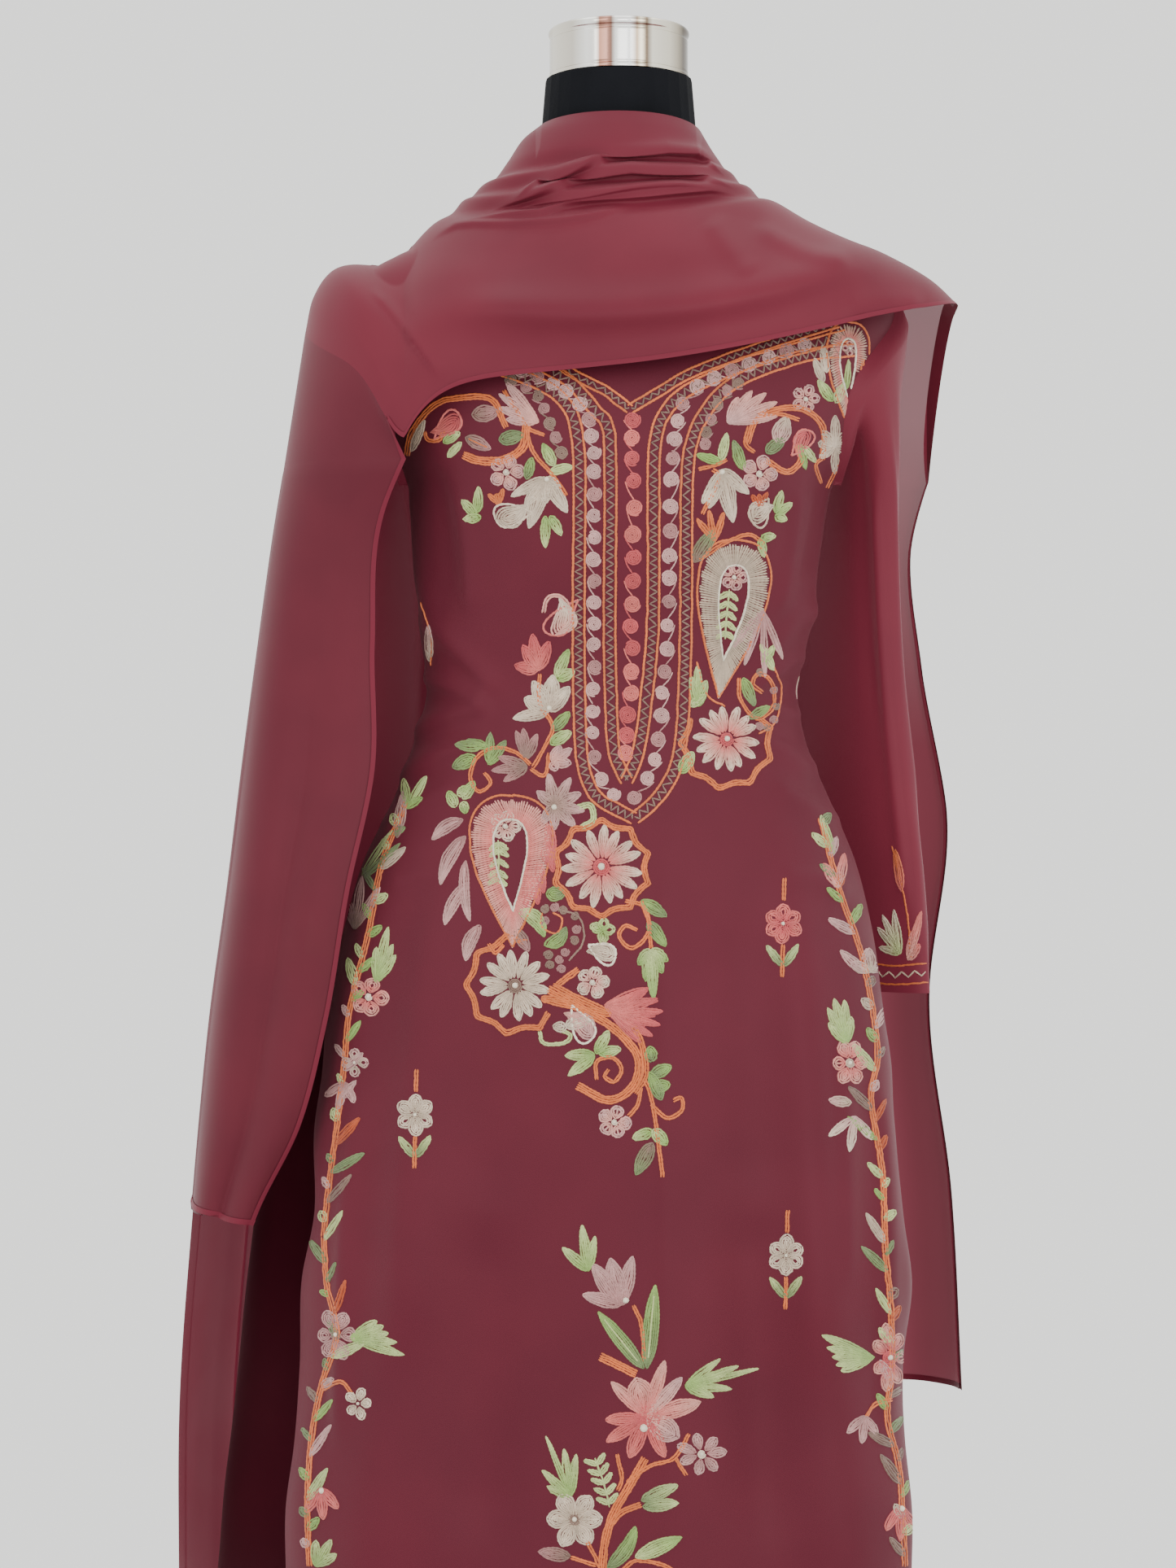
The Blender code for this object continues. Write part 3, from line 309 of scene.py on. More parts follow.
def add_mesh(name, points, faces, material, uv=None):
    mesh = bpy.data.meshes.new(name)
    mesh.from_pydata(np.asarray(points).reshape(-1, 3).tolist(), [], faces)
    mesh.shade_smooth()
    if uv is not None:
        corners = np.zeros(len(mesh.loops), int)
        mesh.loops.foreach_get("vertex_index", corners)
        layer = mesh.uv_layers.new(name="weave")
        layer.data.foreach_set("uv", np.asarray(uv).reshape(-1, 2)[corners].astype(np.float32).ravel())
    mesh.materials.append(material)
    made = bpy.data.objects.new(name, mesh)
    bpy.context.scene.collection.objects.link(made)
    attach(made, "root")
    return made


def cloth_sheet(name, points, material, closed=False):
    """A one-layer sheet from a grid. Its UVs are metres along and across the cloth."""
    rows, columns = points.shape[:2]
    faces = []
    for r in range(rows - 1):
        for c in range(columns if closed else columns - 1):
            d = (c + 1) % columns
            faces.append((r * columns + c, r * columns + d, (r + 1) * columns + d, (r + 1) * columns + c))
    across = np.linalg.norm(np.diff(points, axis=1, prepend=points[:, :1]), axis=-1).cumsum(axis=1)
    down = np.linalg.norm(np.diff(points, axis=0, prepend=points[:1]), axis=-1).cumsum(axis=0)
    return add_mesh(name, points, faces, material, np.stack([across, down], axis=-1))


def from_line(where, line):
    """Signed distance of picture places from a drawn line, and how far along it they are."""
    line = np.asarray(line, float)
    best = np.full(where.shape[:-1], 1e9)
    signed = np.zeros_like(best)
    along = np.zeros_like(best)
    lengths = np.linalg.norm(np.diff(line, axis=0), axis=-1)
    total = lengths.sum()
    done = 0.0
    for start, end, length in zip(line[:-1], line[1:], lengths):
        way = (end - start) / length
        offset = where - start
        t = np.clip(offset @ way, 0, length)
        gap = offset - t[..., None] * way
        distance = np.linalg.norm(gap, axis=-1)
        closer = distance < best
        side = np.sign(way[0] * offset[..., 1] - way[1] * offset[..., 0])
        best = np.where(closer, distance, best)
        signed = np.where(closer, side * distance, signed)
        along = np.where(closer, (done + t) / total, along)
        done += length
    return signed, along


def spline(points, step=8.0):
    """A smooth line through points, with places about one step apart."""
    points = np.asarray(points, float)
    if len(points) < 3:
        count = max(int(np.linalg.norm(points[-1] - points[0]) / step), 1) + 1
        return np.linspace(points[0], points[-1], count)
    padded = np.vstack([2 * points[0] - points[1], points, 2 * points[-1] - points[-2]])
    made = []
    for a, b, c, d in zip(padded, padded[1:], padded[2:], padded[3:]):
        count = max(int(np.linalg.norm(c - b) / step), 1)
        t = (np.arange(count) / count)[:, None]
        square = (2 * a - 5 * b + 4 * c - d) * t**2
        cube = (3 * b - a - 3 * c + d) * t**3
        made.append(0.5 * (2 * b + (c - a) * t + square + cube))
    return np.vstack([*made, points[-1:]])


def creased(points, creases, closed=False):
    """The grid with its creases raised. Each crease is (line, width, depth, steepness): widths are in
    picture pixels, depths in millimetres, and a steepness over 1 narrows its lower side."""
    normals = grid_normals(points, closed)
    where = in_picture(points)
    facing = smooth(-normals[..., 1] * 4)
    raised = np.zeros(points.shape[:2])
    for line, width, depth, steepness in creases:
        signed, along = from_line(where, spline(line, 20))
        reach = np.where(signed > 0, width / steepness, width)
        ends = smooth(along * 5) * smooth((1 - along) * 5)
        raised += depth * 0.001 * np.exp(-((signed / reach) ** 2)) * np.clip(ends, 0.0, 1) * facing
    return points + normals * raised[..., None]


print("sheet and crease tools ready")

# %% [markdown]
# ## Cloth and thread materials
#
# The suit is plum georgette: a fine crepe, dull and soft, with a slight change of tone from place
# to place. Two node groups make what the materials share. `crepe weave` gives a fine pebbled
# height and a tone mask. `thread strands` gives the slanting strands of the embroidery thread.
# The sheer scarf is the same cloth woven open, so its alpha follows the weave.

# %% Node groups
def node_group(name, inputs, outputs):
    """An empty node group with named inputs (name, default) and outputs, and its two end nodes."""
    group = bpy.data.node_groups.new(name, "ShaderNodeTree")
    for label, default in inputs:
        kind = "NodeSocketColor" if isinstance(default, tuple) else "NodeSocketFloat"
        socket = group.interface.new_socket(label, in_out="INPUT", socket_type=kind)
        socket.default_value = default
    for label, kind in outputs:
        group.interface.new_socket(label, in_out="OUTPUT", socket_type="NodeSocket" + kind)
    return group, group.nodes.new("NodeGroupInput"), group.nodes.new("NodeGroupOutput")


def add_node(tree, kind, settings=(), **inputs):
    """A node with its settings and its inputs: a number, a colour, or another node's output."""
    node = tree.nodes.new("ShaderNode" + kind)
    for name, value in dict(settings).items():
        setattr(node, name, value)
    for name, value in inputs.items():
        socket = node.inputs[int(name[1:])] if name[1:].isdigit() else node.inputs[name.replace("_", " ")]
        if isinstance(value, bpy.types.NodeSocket):
            tree.links.new(value, socket)
        else:
            socket.default_value = value
    return node


def math_node(tree, operation, first, second):
    return add_node(tree, "Math", {"operation": operation}, i0=first, i1=second).outputs[0]


def crepe_weave_group():
    group, start, end = node_group(
        "crepe weave",
        [("Threads", 1500.0), ("Patches", 9.0)],
        [("Height", "Float"), ("Tone", "Float")],
    )
    place = add_node(group, "TexCoord").outputs["Object"]
    pebble = add_node(group, "TexNoise", Vector=place, Scale=start.outputs["Threads"], Detail=2.0,
        Roughness=0.6)
    wide = add_node(group, "TexNoise", Vector=place, Scale=start.outputs["Patches"], Detail=3.0,
        Roughness=0.5)
    group.links.new(pebble.outputs["Fac"], end.inputs["Height"])
    group.links.new(wide.outputs["Fac"], end.inputs["Tone"])
    return group


def thread_strands_group():
    group, start, end = node_group(
        "thread strands",
        [("Strands", 900.0), ("Slant", 1.0)],
        [("Height", "Float"), ("Tone", "Float")],
    )
    uv = add_node(group, "UVMap", {"uv_map": "weave"})
    split = add_node(group, "SeparateXYZ", i0=uv.outputs["UV"])
    slanted = math_node(group, "ADD", split.outputs["Y"],
        math_node(group, "MULTIPLY", split.outputs["X"], start.outputs["Slant"]))
    wave = math_node(group, "SINE", math_node(group, "MULTIPLY", slanted, math_node(group, "MULTIPLY",
        start.outputs["Strands"], 6.2832)), 0.0)
    height = math_node(group, "ADD", math_node(group, "MULTIPLY", wave, 0.5), 0.5)
    place = add_node(group, "TexCoord").outputs["Object"]
    dye = add_node(group, "TexNoise", Vector=place, Scale=140.0, Detail=1.0)
    group.links.new(height, end.inputs["Height"])
    group.links.new(dye.outputs["Fac"], end.inputs["Tone"])
    return group


crepe_weave = crepe_weave_group()
thread_strands = thread_strands_group()
print("groups:", [g.name for g in bpy.data.node_groups])

# %% Cloth materials
def shader_of(material):
    return material.node_tree, material.node_tree.nodes["Principled BSDF"]


def use_group(tree, group, **inputs):
    node = tree.nodes.new("ShaderNodeGroup")
    node.node_tree = group
    for name, value in inputs.items():
        node.inputs[name].default_value = value
    return node


def two_tones(tree, mask, dark, light, low=0.35, high=0.65):
    ramp = add_node(tree, "ValToRGB", i0=mask)
    ramp.color_ramp.elements[0].position = low
    ramp.color_ramp.elements[1].position = high
    ramp.color_ramp.elements[0].color = (*dark, 1)
    ramp.color_ramp.elements[1].color = (*light, 1)
    return ramp.outputs["Color"]


def cloth_material(name, dark, light, roughness, sheen, bump, alpha=None, heights=None, painted_glow=0.0):
    """A woven cloth. alpha is (least, most) for an open weave, or (low, high) between two heights.
    Its glow is painted light: an emission in the cloth's own light colour, which stands in for light coming
    through one layer from behind and lifts the cloth where it lies in shade."""
    made = plain_material(name, light, roughness)
    tree, shader = shader_of(made)
    weave = use_group(tree, crepe_weave)
    tree.links.new(two_tones(tree, weave.outputs["Tone"], dark, light), shader.inputs["Base Color"])
    height = add_node(tree, "Bump", Strength=bump, Distance=0.0004, Height=weave.outputs["Height"])
    tree.links.new(height.outputs["Normal"], shader.inputs["Normal"])
    shader.inputs["Sheen Weight"].default_value = sheen
    shader.inputs["Sheen Roughness"].default_value = 0.45
    shader.inputs["Sheen Tint"].default_value = (0.85, 0.45, 0.50, 1)
    shader.inputs["Specular IOR Level"].default_value = 0.16
    # Painted light: an even glow in the cloth's own colour, lifting it where it lies in shade.
    shader.inputs["Emission Color"].default_value = (*light, 1)
    shader.inputs["Emission Strength"].default_value = painted_glow
    if alpha:
        guide, (start, end) = weave.outputs["Tone"], (0.35, 0.65)
        if heights:
            place = add_node(tree, "SeparateXYZ", Vector=add_node(tree, "TexCoord").outputs["Object"])
            guide, (start, end) = place.outputs["Z"], heights
        open_weave = add_node(tree, "MapRange", Value=guide, i1=start, i2=end, i3=alpha[0], i4=alpha[1])
        tree.links.new(open_weave.outputs["Result"], shader.inputs["Alpha"])
    return made


plum = cloth_material("plum_georgette", (0.090, 0.0088, 0.0200), (0.103, 0.0106, 0.0228), 0.55, 0.12, 0.30)
layered = cloth_material("sheer_plum_layered", (0.118, 0.0118, 0.0245), (0.138, 0.0146, 0.0290), 0.52, 0.09,
    0.15, (0.975, 0.985))
# Painted shade: a darker copy of the scarf's cloth for its left front fall, which hangs in layers at the
# side.
double_painted_shade = cloth_material("sheer_plum_double_painted_shade", (0.092, 0.0100, 0.0205), (0.110, 0.0125, 0.0240), 0.52, 0.10,
    0.15, (0.965, 0.975))
# Painted light: a brighter copy of the scarf's cloth with a glow, for the right fall's one layer lit from
# behind.
single_painted_glow = cloth_material("sheer_plum_single_painted_glow", (0.150, 0.0190, 0.0350), (0.166, 0.0215, 0.0390), 0.60, 0.14,
    0.10, (0.985, 0.90), (1.00, 1.25), painted_glow=0.50)
# Painted light: a brighter copy with a glow, lifting the left fall's back layer out of its shade.
hanging_painted_glow = cloth_material("sheer_plum_hanging_painted_glow", (0.138, 0.0160, 0.0310), (0.154, 0.0185, 0.0350), 0.55, 0.12,
    0.12, (0.98, 0.99), painted_glow=0.60)
# Painted light: a brighter copy of the kameez cloth with a glow, lifting the sleeves out of the shade beside
# the body.
sleeve_plum_painted_glow = cloth_material("plum_georgette_sleeve_painted_glow", (0.100, 0.0120, 0.0225), (0.113, 0.0140, 0.0255),
    0.55, 0.12, 0.30, painted_glow=0.60)

hemmed = cloth_material("sheer_plum_hem", (0.135, 0.012, 0.027), (0.147, 0.014, 0.030), 0.55, 0.14, 0.15)
print("cloth:", plum.name, layered.name, double_painted_shade.name, single_painted_glow.name, hanging_painted_glow.name, hemmed.name)

# %% [markdown]
# ## The kameez
#
# The kameez is a front and a back panel, sewn at the shoulders and down to the side slits. Below
# the underarm its rows are level. Above, they bend until the last one is the neckline and the
# shoulder seam, and the row ends draw the armhole. Its waist is pinned behind the form, which
# drags short folds in from both sides; the skirt hangs in long soft folds.

# %% Kameez panels
CAD_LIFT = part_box("kameez_front")[0].z - KAMEEZ_HEM


def kameez_point(turn, z, panel):
    """A panel's surface: turn runs from -90 to 90 degrees, left to right of the picture."""
    free = smooth((SLIT_TOP - z) / 0.30)
    left, right = reading(KAMEEZ, "left", z), reading(KAMEEZ, "right", z)
    depth = reading(KAMEEZ, panel, z)
    across = power(np.sin(turn), ROUNDNESS)
    deep = np.abs(np.cos(turn)) ** ROUNDNESS
    if panel == "back":
        left = left - reading(KAMEEZ, "stray", z)
        right = right - 0.010 * free
    x = np.where(across < 0, -left * across, right * across)
    edge = free * (0.034 + 0.009 * np.sin(z * 31.0 + (across > 0)))
    y = edge + (depth - edge) * deep
    for side, x_top, z_top, x_hem, width, fold_depth in SKIRT_FOLDS:
        if side != panel:
            continue
        down = (z_top - z) / (z_top - KAMEEZ_HEM)
        line = x_top + (x_hem - x_top) * np.maximum(down, 0)
        y = y + fold_depth * smooth(down * 1.5) * np.exp(-(((x - line) / width) ** 2))
    return np.stack([x, -y if panel == "front" else y, z + 0 * x], axis=-1)


def kameez_grid(panel, columns=181, level_rows=260, yoke_rows=60):
    share = np.linspace(-1, 1, columns)[None, :]
    rows = np.linspace(KAMEEZ_HEM, UNDERARM, level_rows)[:, None]
    body = kameez_point(share * math.pi / 2 + 0 * rows, rows + 0 * share, panel)
    rise = (np.arange(1, yoke_rows + 1) / yoke_rows)[:, None]
    along_neck = np.clip(np.abs(share) / NECK_SHARE, 0, 1)
    along_shoulder = np.clip((np.abs(share) - NECK_SHARE) / (1 - NECK_SHARE), 0, 1)
    top_turn = np.sign(share) * along_neck * math.pi / 2
    top_z = NECK_POINT - NECK_DROP[panel] * np.cos(along_neck * math.pi / 2)
    top_z = top_z + (SHOULDER_TIP + 0.004 - NECK_POINT) * along_shoulder
    scoop = ARMHOLE_SCOOP * np.sin(math.pi * rise) * share * math.sqrt(1.06) / np.sqrt(np.abs(share) + 0.06)
    turn = share * (1 - rise) * math.pi / 2 + rise * top_turn - scoop
    yoke = kameez_point(turn, UNDERARM + (top_z - UNDERARM) * rise, panel)
    grid = np.concatenate([body, yoke]) + np.array([0, 0, CAD_LIFT])
    return grid[:, ::-1] if panel == "back" else grid


# Lines in the picture's pixels, with width, depth in millimetres and steepness
FRONT_CREASES = [
    ([(492, 912), (540, 884), (612, 868)], 14, 4.2, 1.6),
    ([(500, 826), (548, 842), (606, 868)], 14, 4.2, 1.6),
    ([(505, 752), (560, 796), (618, 858)], 15, 3.4, 1.4),
    ([(478, 968), (535, 930), (604, 914)], 15, 3.8, 1.6),
    ([(462, 1030), (520, 985), (575, 968)], 16, 3.2, 1.4),
    ([(990, 885), (950, 868), (890, 872)], 14, 4.0, 1.6),
    ([(996, 795), (950, 828), (900, 862)], 14, 4.0, 1.6),
    ([(1012, 956), (960, 918), (905, 904)], 15, 3.6, 1.6),
    ([(1000, 730), (966, 780), (930, 838)], 15, 3.0, 1.4),
    ([(1040, 1020), (990, 985), (945, 966)], 16, 3.0, 1.4),
    ([(503, 585), (512, 680), (532, 775)], 12, 4.5, 1.5),
    ([(530, 560), (545, 650), (552, 750)], 14, -3.4, 1.0),
    ([(562, 590), (575, 680), (578, 765)], 14, 3.0, 1.3),
    ([(1042, 600), (1022, 690), (985, 785)], 12, 4.4, 1.5),
    ([(1018, 560), (1003, 640), (985, 720)], 14, -3.4, 1.0),
    ([(985, 590), (976, 680), (955, 765)], 14, 3.0, 1.3),
    ([(815, 1000), (816, 1400), (818, 1900)], 10, 1.6, 1.3),
    ([(560, 1030), (520, 1250), (500, 1500), (490, 1700)], 36, 5.5, 1.4),
    ([(620, 1100), (600, 1300), (590, 1500)], 40, -4.0, 1.0),
    ([(950, 1010), (985, 1250), (1000, 1520), (1010, 1750)], 36, 5.5, 1.4),
    ([(905, 1100), (925, 1300), (935, 1500)], 40, -4.0, 1.0),
    ([(600, 1480), (590, 1700), (585, 1920)], 40, -5.0, 1.0),
    ([(920, 1450), (935, 1700), (940, 1920)], 38, -5.0, 1.0),
    ([(440, 1330), (425, 1500), (415, 1800)], 18, 4.5, 1.5),
    ([(1080, 1300), (1090, 1500), (1088, 1800)], 16, 4.5, 1.5),
    ([(1035, 1250), (1040, 1420), (1042, 1600)], 16, 2.8, 1.4),
    ([(470, 1090), (520, 1075), (580, 1082)], 16, 2.6, 1.4),
    ([(1050, 1100), (1000, 1078), (950, 1082)], 16, 2.6, 1.4),
]
front_grid = creased(kameez_grid("front"), FRONT_CREASES)
kameez_front = cloth_sheet("kameez_front_cloth", front_grid, plum)
print("kameez front:", front_grid.shape)

# %% Kameez back
def ridged(points, ridges):
    """Folds of the sides that the picture doesn't show: (x1, z1, x2, z2, width, depth), in metres."""
    normals = grid_normals(points)
    raised = np.zeros(points.shape[:2])
    for x1, z1, x2, z2, width, depth in ridges:
        line = np.array([(x1, z1), (x2, z2)])
        signed, along = from_line(points[..., [0, 2]], line)
        ends = smooth(along * 4) * smooth((1 - along) * 4)
        raised += depth * np.exp(-((signed / width) ** 2)) * ends
    return points + normals * raised[..., None]


BACK_FOLDS = [
    (-0.135, 1.10, -0.012, 1.035, 0.009, 0.0035),
    (-0.138, 1.02, -0.014, 1.020, 0.008, 0.0030),
    (-0.150, 0.94, -0.014, 1.005, 0.010, 0.0035),
    (0.140, 1.11, 0.020, 1.040, 0.009, 0.0035),
    (0.142, 1.01, 0.022, 1.022, 0.008, 0.0030),
    (0.150, 0.93, 0.020, 1.000, 0.010, 0.0035),
    (-0.120, 1.33, -0.150, 1.20, 0.012, 0.0030),
    (0.125, 1.33, 0.155, 1.20, 0.012, 0.0030),
    (0.005, 1.02, 0.012, 0.62, 0.010, 0.0050),
    (-0.030, 1.00, -0.060, 0.55, 0.014, -0.0030),
    (0.036, 1.00, 0.070, 0.55, 0.014, -0.0030),
]
back_grid = ridged(kameez_grid("back", columns=97, level_rows=130, yoke_rows=40), BACK_FOLDS)
kameez_back = cloth_sheet("kameez_back_cloth", back_grid, plum)
for cloth, node in ((kameez_front, "kameez_front"), (kameez_back, "kameez_back")):
    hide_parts(node)
print("kameez back:", back_grid.shape)

# %% [markdown]
# ## The sleeves
#
# Each sleeve is one long tube set into the armhole. With no arm inside it hangs flat and a little
# behind the body, so its rings go from the round armhole to a thin lens. The rings are made finely
# enough for the long slack creases that run down from the sleeve head.

# %% Sleeves
LEFT_ARMHOLE_IN, LEFT_CUFF_OUT, CAP_STAND = 0.014, 0.013, 0.007


def armhole(front, back, right, count=56):
    """The loop round the armhole, evenly spaced, and its direction away from the panels."""
    start_front = 259
    start_back = 129
    column, other = (-1, 0) if right else (0, -1)
    loop = np.concatenate([front[start_front:, column], back[start_back:, other][::-1]])
    inside = np.concatenate([front[start_front:, -4 if right else 3],
        back[start_back:, 3 if right else -4][::-1]])
    lengths = np.concatenate([[0], np.linalg.norm(np.diff(loop, axis=0), axis=1).cumsum()])
    at = np.linspace(0, lengths[-1], count)
    pick = [np.column_stack([np.interp(at, lengths, part[:, k]) for k in range(3)]) for part in (loop,
        inside)]
    return pick[0], unit(pick[0] - pick[1])


def sleeve_grid(front, back, right, rings=90):
    loop, away = armhole(front, back, right)
    count = len(loop)
    sign = 1 if right else -1
    leave = unit(0.3 * away + np.array([sign, 0.0, 0.0]))
    angle = 2 * math.pi * (np.arange(count) + 0.5) / count
    stand = loop + leave * CAP_STAND
    layers = [loop, (loop + stand) / 2, stand]
    heights = np.linspace(SLEEVE["z"][0], SLEEVE["z"][-1], rings)
    rounded = power(np.sin(angle), 0.9)[:, None]
    flat = power(np.cos(angle), 0.8)[:, None]
    for z in heights:
        x, y, half, thick, tilt = (float(reading(SLEEVE, n, z)) for n in ("x", "y", "half", "thick", "angle"))
        tilt = math.radians(tilt)
        wide = np.array([math.cos(tilt), -math.sin(tilt), 0.0])
        thin = np.array([-math.sin(tilt), -math.cos(tilt), 0.0])
        ring = wide * half * rounded + thin * thick * flat + np.array([x, y, z])
        down = (heights[0] - z) / (heights[0] - heights[-1])
        if not right:
            ring[:, 0] = -ring[:, 0] + LEFT_ARMHOLE_IN - (LEFT_ARMHOLE_IN + LEFT_CUFF_OUT) * down
        bind = float(smooth((down * 7.5 + 0.4) / 1.6))
        layers.append(ring * bind + (1 - bind) * (stand + np.array([sign * 0.004, 0, 0])))
    grid = np.array(layers)
    return grid[:, ::-1] if right else grid


def slack(points, folds, closed=True):
    """Long creases down a tube: (share round it, first and last row share, width, depth)."""
    rows, columns = points.shape[:2]
    down = np.linspace(0, 1, rows)[:, None]
    round_it = (np.arange(columns) / columns)[None, :]
    raised = np.zeros((rows, columns))
    for share, drift, first, last, width, depth in folds:
        gap = round_it - share - drift * down
        gap = np.abs((gap + 0.5) % 1.0 - 0.5)
        ends = smooth((down - first) / 0.12) * smooth((last - down) / 0.12)
        raised += depth * np.exp(-((gap / width) ** 2)) * ends
    return points + grid_normals(points, closed)[..., :] * raised[..., None]


SLEEVE_FOLDS = [
    (0.62, 0.06, 0.05, 0.75, 0.030, 0.0035),
    (0.70, -0.04, 0.10, 1.00, 0.035, 0.0030),
    (0.80, 0.05, 0.15, 0.90, 0.025, 0.0035),
    (0.90, -0.05, 0.02, 0.60, 0.030, -0.0030),
    (0.55, 0.02, 0.30, 1.00, 0.025, -0.0025),
    (0.15, 0.05, 0.05, 0.80, 0.030, 0.0030),
    (0.30, -0.05, 0.20, 1.00, 0.035, -0.0030),
    (0.42, 0.04, 0.05, 0.65, 0.030, 0.0030),
]
sleeve_grids = {}
for side in ("left", "right"):
    grid = slack(sleeve_grid(front_grid, back_grid, side == "right"), SLEEVE_FOLDS)
    sleeve_grids[side] = grid
    cloth_sheet("sleeve_" + side + "_cloth", grid, sleeve_plum_painted_glow, closed=True)
    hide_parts("sleeve_" + side)
    print("sleeve", side, grid.shape)

# %% [markdown]
# ## The salwar
#
# The trousers show only below the kameez and through its slits. They are a belt, which sits on the
# form, two wide legs pleated into it, and stiff stitched cuffs. Their solids follow the same
# sections, so their sheets are made from the same loops, finer and with more pleats.

# %% Salwar
BELT_FOOT, BELT_TOP = 0.8205, 0.9495
LEG_FOOT, LEG_TOP = 0.1505, 0.600
CUFF_FOOT, CUFF_TOP = 0.0955, 0.1492


def node_outline(node, low, high, count):
    """Rings of a solid's outer side, found by rays shot in from all round at each height."""
    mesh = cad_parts[node].data
    tree = BVHTree.FromPolygons([v.co for v in mesh.vertices], [p.vertices for p in mesh.polygons])
    box_low, box_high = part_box(node)
    centre = (box_low + box_high) / 2
    rings = []
    for z in np.linspace(low, high, count[0]):
        ring = []
        for turn in np.linspace(0, 2 * math.pi, count[1], endpoint=False):
            way = Vector((math.sin(turn), -math.cos(turn), 0))
            hit = tree.ray_cast(Vector((centre.x, centre.y, z)) + way, -way)[0]
            ring.append(hit if hit is not None else ring[-1])
        rings.append(ring)
    return np.array(rings)


def salwar_sheet(name, low, high, count, pleats=None):
    grid = node_outline(name, low, high, count)
    if pleats:
        grid = slack(grid, pleats)
    cloth = cloth_sheet(name + "_cloth", grid, plum, closed=True)
    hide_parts(name)
    return cloth


def leg_pleats(seed, count=13):
    """Unequal pleats round a leg, from a seed that makes the two legs differ."""
    draw = np.random.default_rng(seed)
    folds = []
    for k in range(count):
        share = (k + draw.uniform(-0.25, 0.25)) / count
        folds.append((share, draw.uniform(-0.04, 0.04), 0.0, draw.uniform(0.85, 1.1), 0.016,
            draw.uniform(0.002, 0.004)))
    return folds


def salwar_seat(side, low=0.50, tuck=0.985):
    """The top of a leg keeps its solid's faces up to the belt, and its foot is tucked inside the leg."""
    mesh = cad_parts["salwar_leg_" + side].data
    faces = [tuple(p.vertices) for p in mesh.polygons if min(mesh.vertices[k].co.z for k in p.vertices) > low]
    used = sorted({k for face in faces for k in face})
    renamed = {k: n for n, k in enumerate(used)}
    points = np.array([tuple(mesh.vertices[k].co) for k in used])
    tucked = points[:, 2] < LEG_TOP
    centre = points[tucked, :2].mean(axis=0)
    points[tucked, :2] = centre + (points[tucked, :2] - centre) * tuck
    return add_mesh("salwar_seat_" + side, points, [tuple(renamed[k] for k in face) for face in faces], plum)


salwar_belt = salwar_sheet("salwar_belt", BELT_FOOT, BELT_TOP, (16, 96))
salwar_legs = {}
for side, seed in (("left", 3), ("right", 8)):
    salwar_legs[side] = salwar_sheet("salwar_leg_" + side, LEG_FOOT, LEG_TOP, (80, 120), leg_pleats(seed))
    salwar_sheet("salwar_cuff_" + side, CUFF_FOOT, CUFF_TOP, (8, 96))
salwar_seats = {side: salwar_seat(side) for side in salwar_legs}

# %% [markdown]
# ## The dupatta
#
# The scarf is one sheet, two and a half metres long. Its middle is bunched in folds round the neck
# and spread over the chest, and its two ends hang behind the shoulders; on the left the front
# layer also covers the arm. It is see-through, so where it lies in two or three layers it is darker.
# The layers are modelled as they lie, and their cloths also carry painted light: the left front
# fall is a darker copy with painted shade, and the back falls are brighter copies with a painted glow.

# %% Dupatta middle
def clear_of_kameez(points, panel, ease=SCARF_EASE):
    """Pushes points out in front of the kameez, or behind it."""
    points = points.copy()
    x, y, z = points[..., 0], points[..., 1], points[..., 2]
    left, right = -reading(KAMEEZ, "left", z), reading(KAMEEZ, "right", z)
    if panel == "back":
        left = left + reading(KAMEEZ, "stray", z)
    share = np.abs(x) / np.where(x < 0, left, right)
    turn = np.sign(x) * np.arcsin(np.clip(share, 0, 1) ** (1 / ROUNDNESS))
    surface = kameez_point(turn, z, panel)[..., 1]
    near = (share < 1.06) & (z < NECK_POINT + ease)
    if panel == "front":
        points[..., 1] = np.where(near, np.minimum(y, surface - ease), y)
    else:
        points[..., 1] = np.where(near, np.maximum(y, surface + ease), y)
    return points


def cowl_grid(rows=220, columns=260):
    turn = np.linspace(-math.pi / 2, math.pi / 2, columns)
    side, front = np.sin(turn), np.cos(turn)
    lines = []
    for low in np.linspace(0, 1, rows):
        lx, lz, cy, cz, rx, rz = (float(reading(COWL, n, low)) for n in ("lx", "lz", "cy", "cz", "rx", "rz"))
        x = np.where(side < 0, -lx, rx) * power(side, 0.95) + 0.004 * front
        y = cy * np.abs(front) ** 0.85
        shoulder = np.where(side < 0, lz, rz)
        z = shoulder + (cz - shoulder) * np.abs(front) ** (1.0 + 0.4 * low)
        slope = np.where(side > 0, 0.030, -0.028) * np.abs(side) * front
        lines.append(np.stack([x, y, z + slope * low**2], axis=-1))
    grid = clear_of_kameez(np.array(lines), "front")
    grid[:, [0, -1], 1] = 0.0
    return grid[::-1]


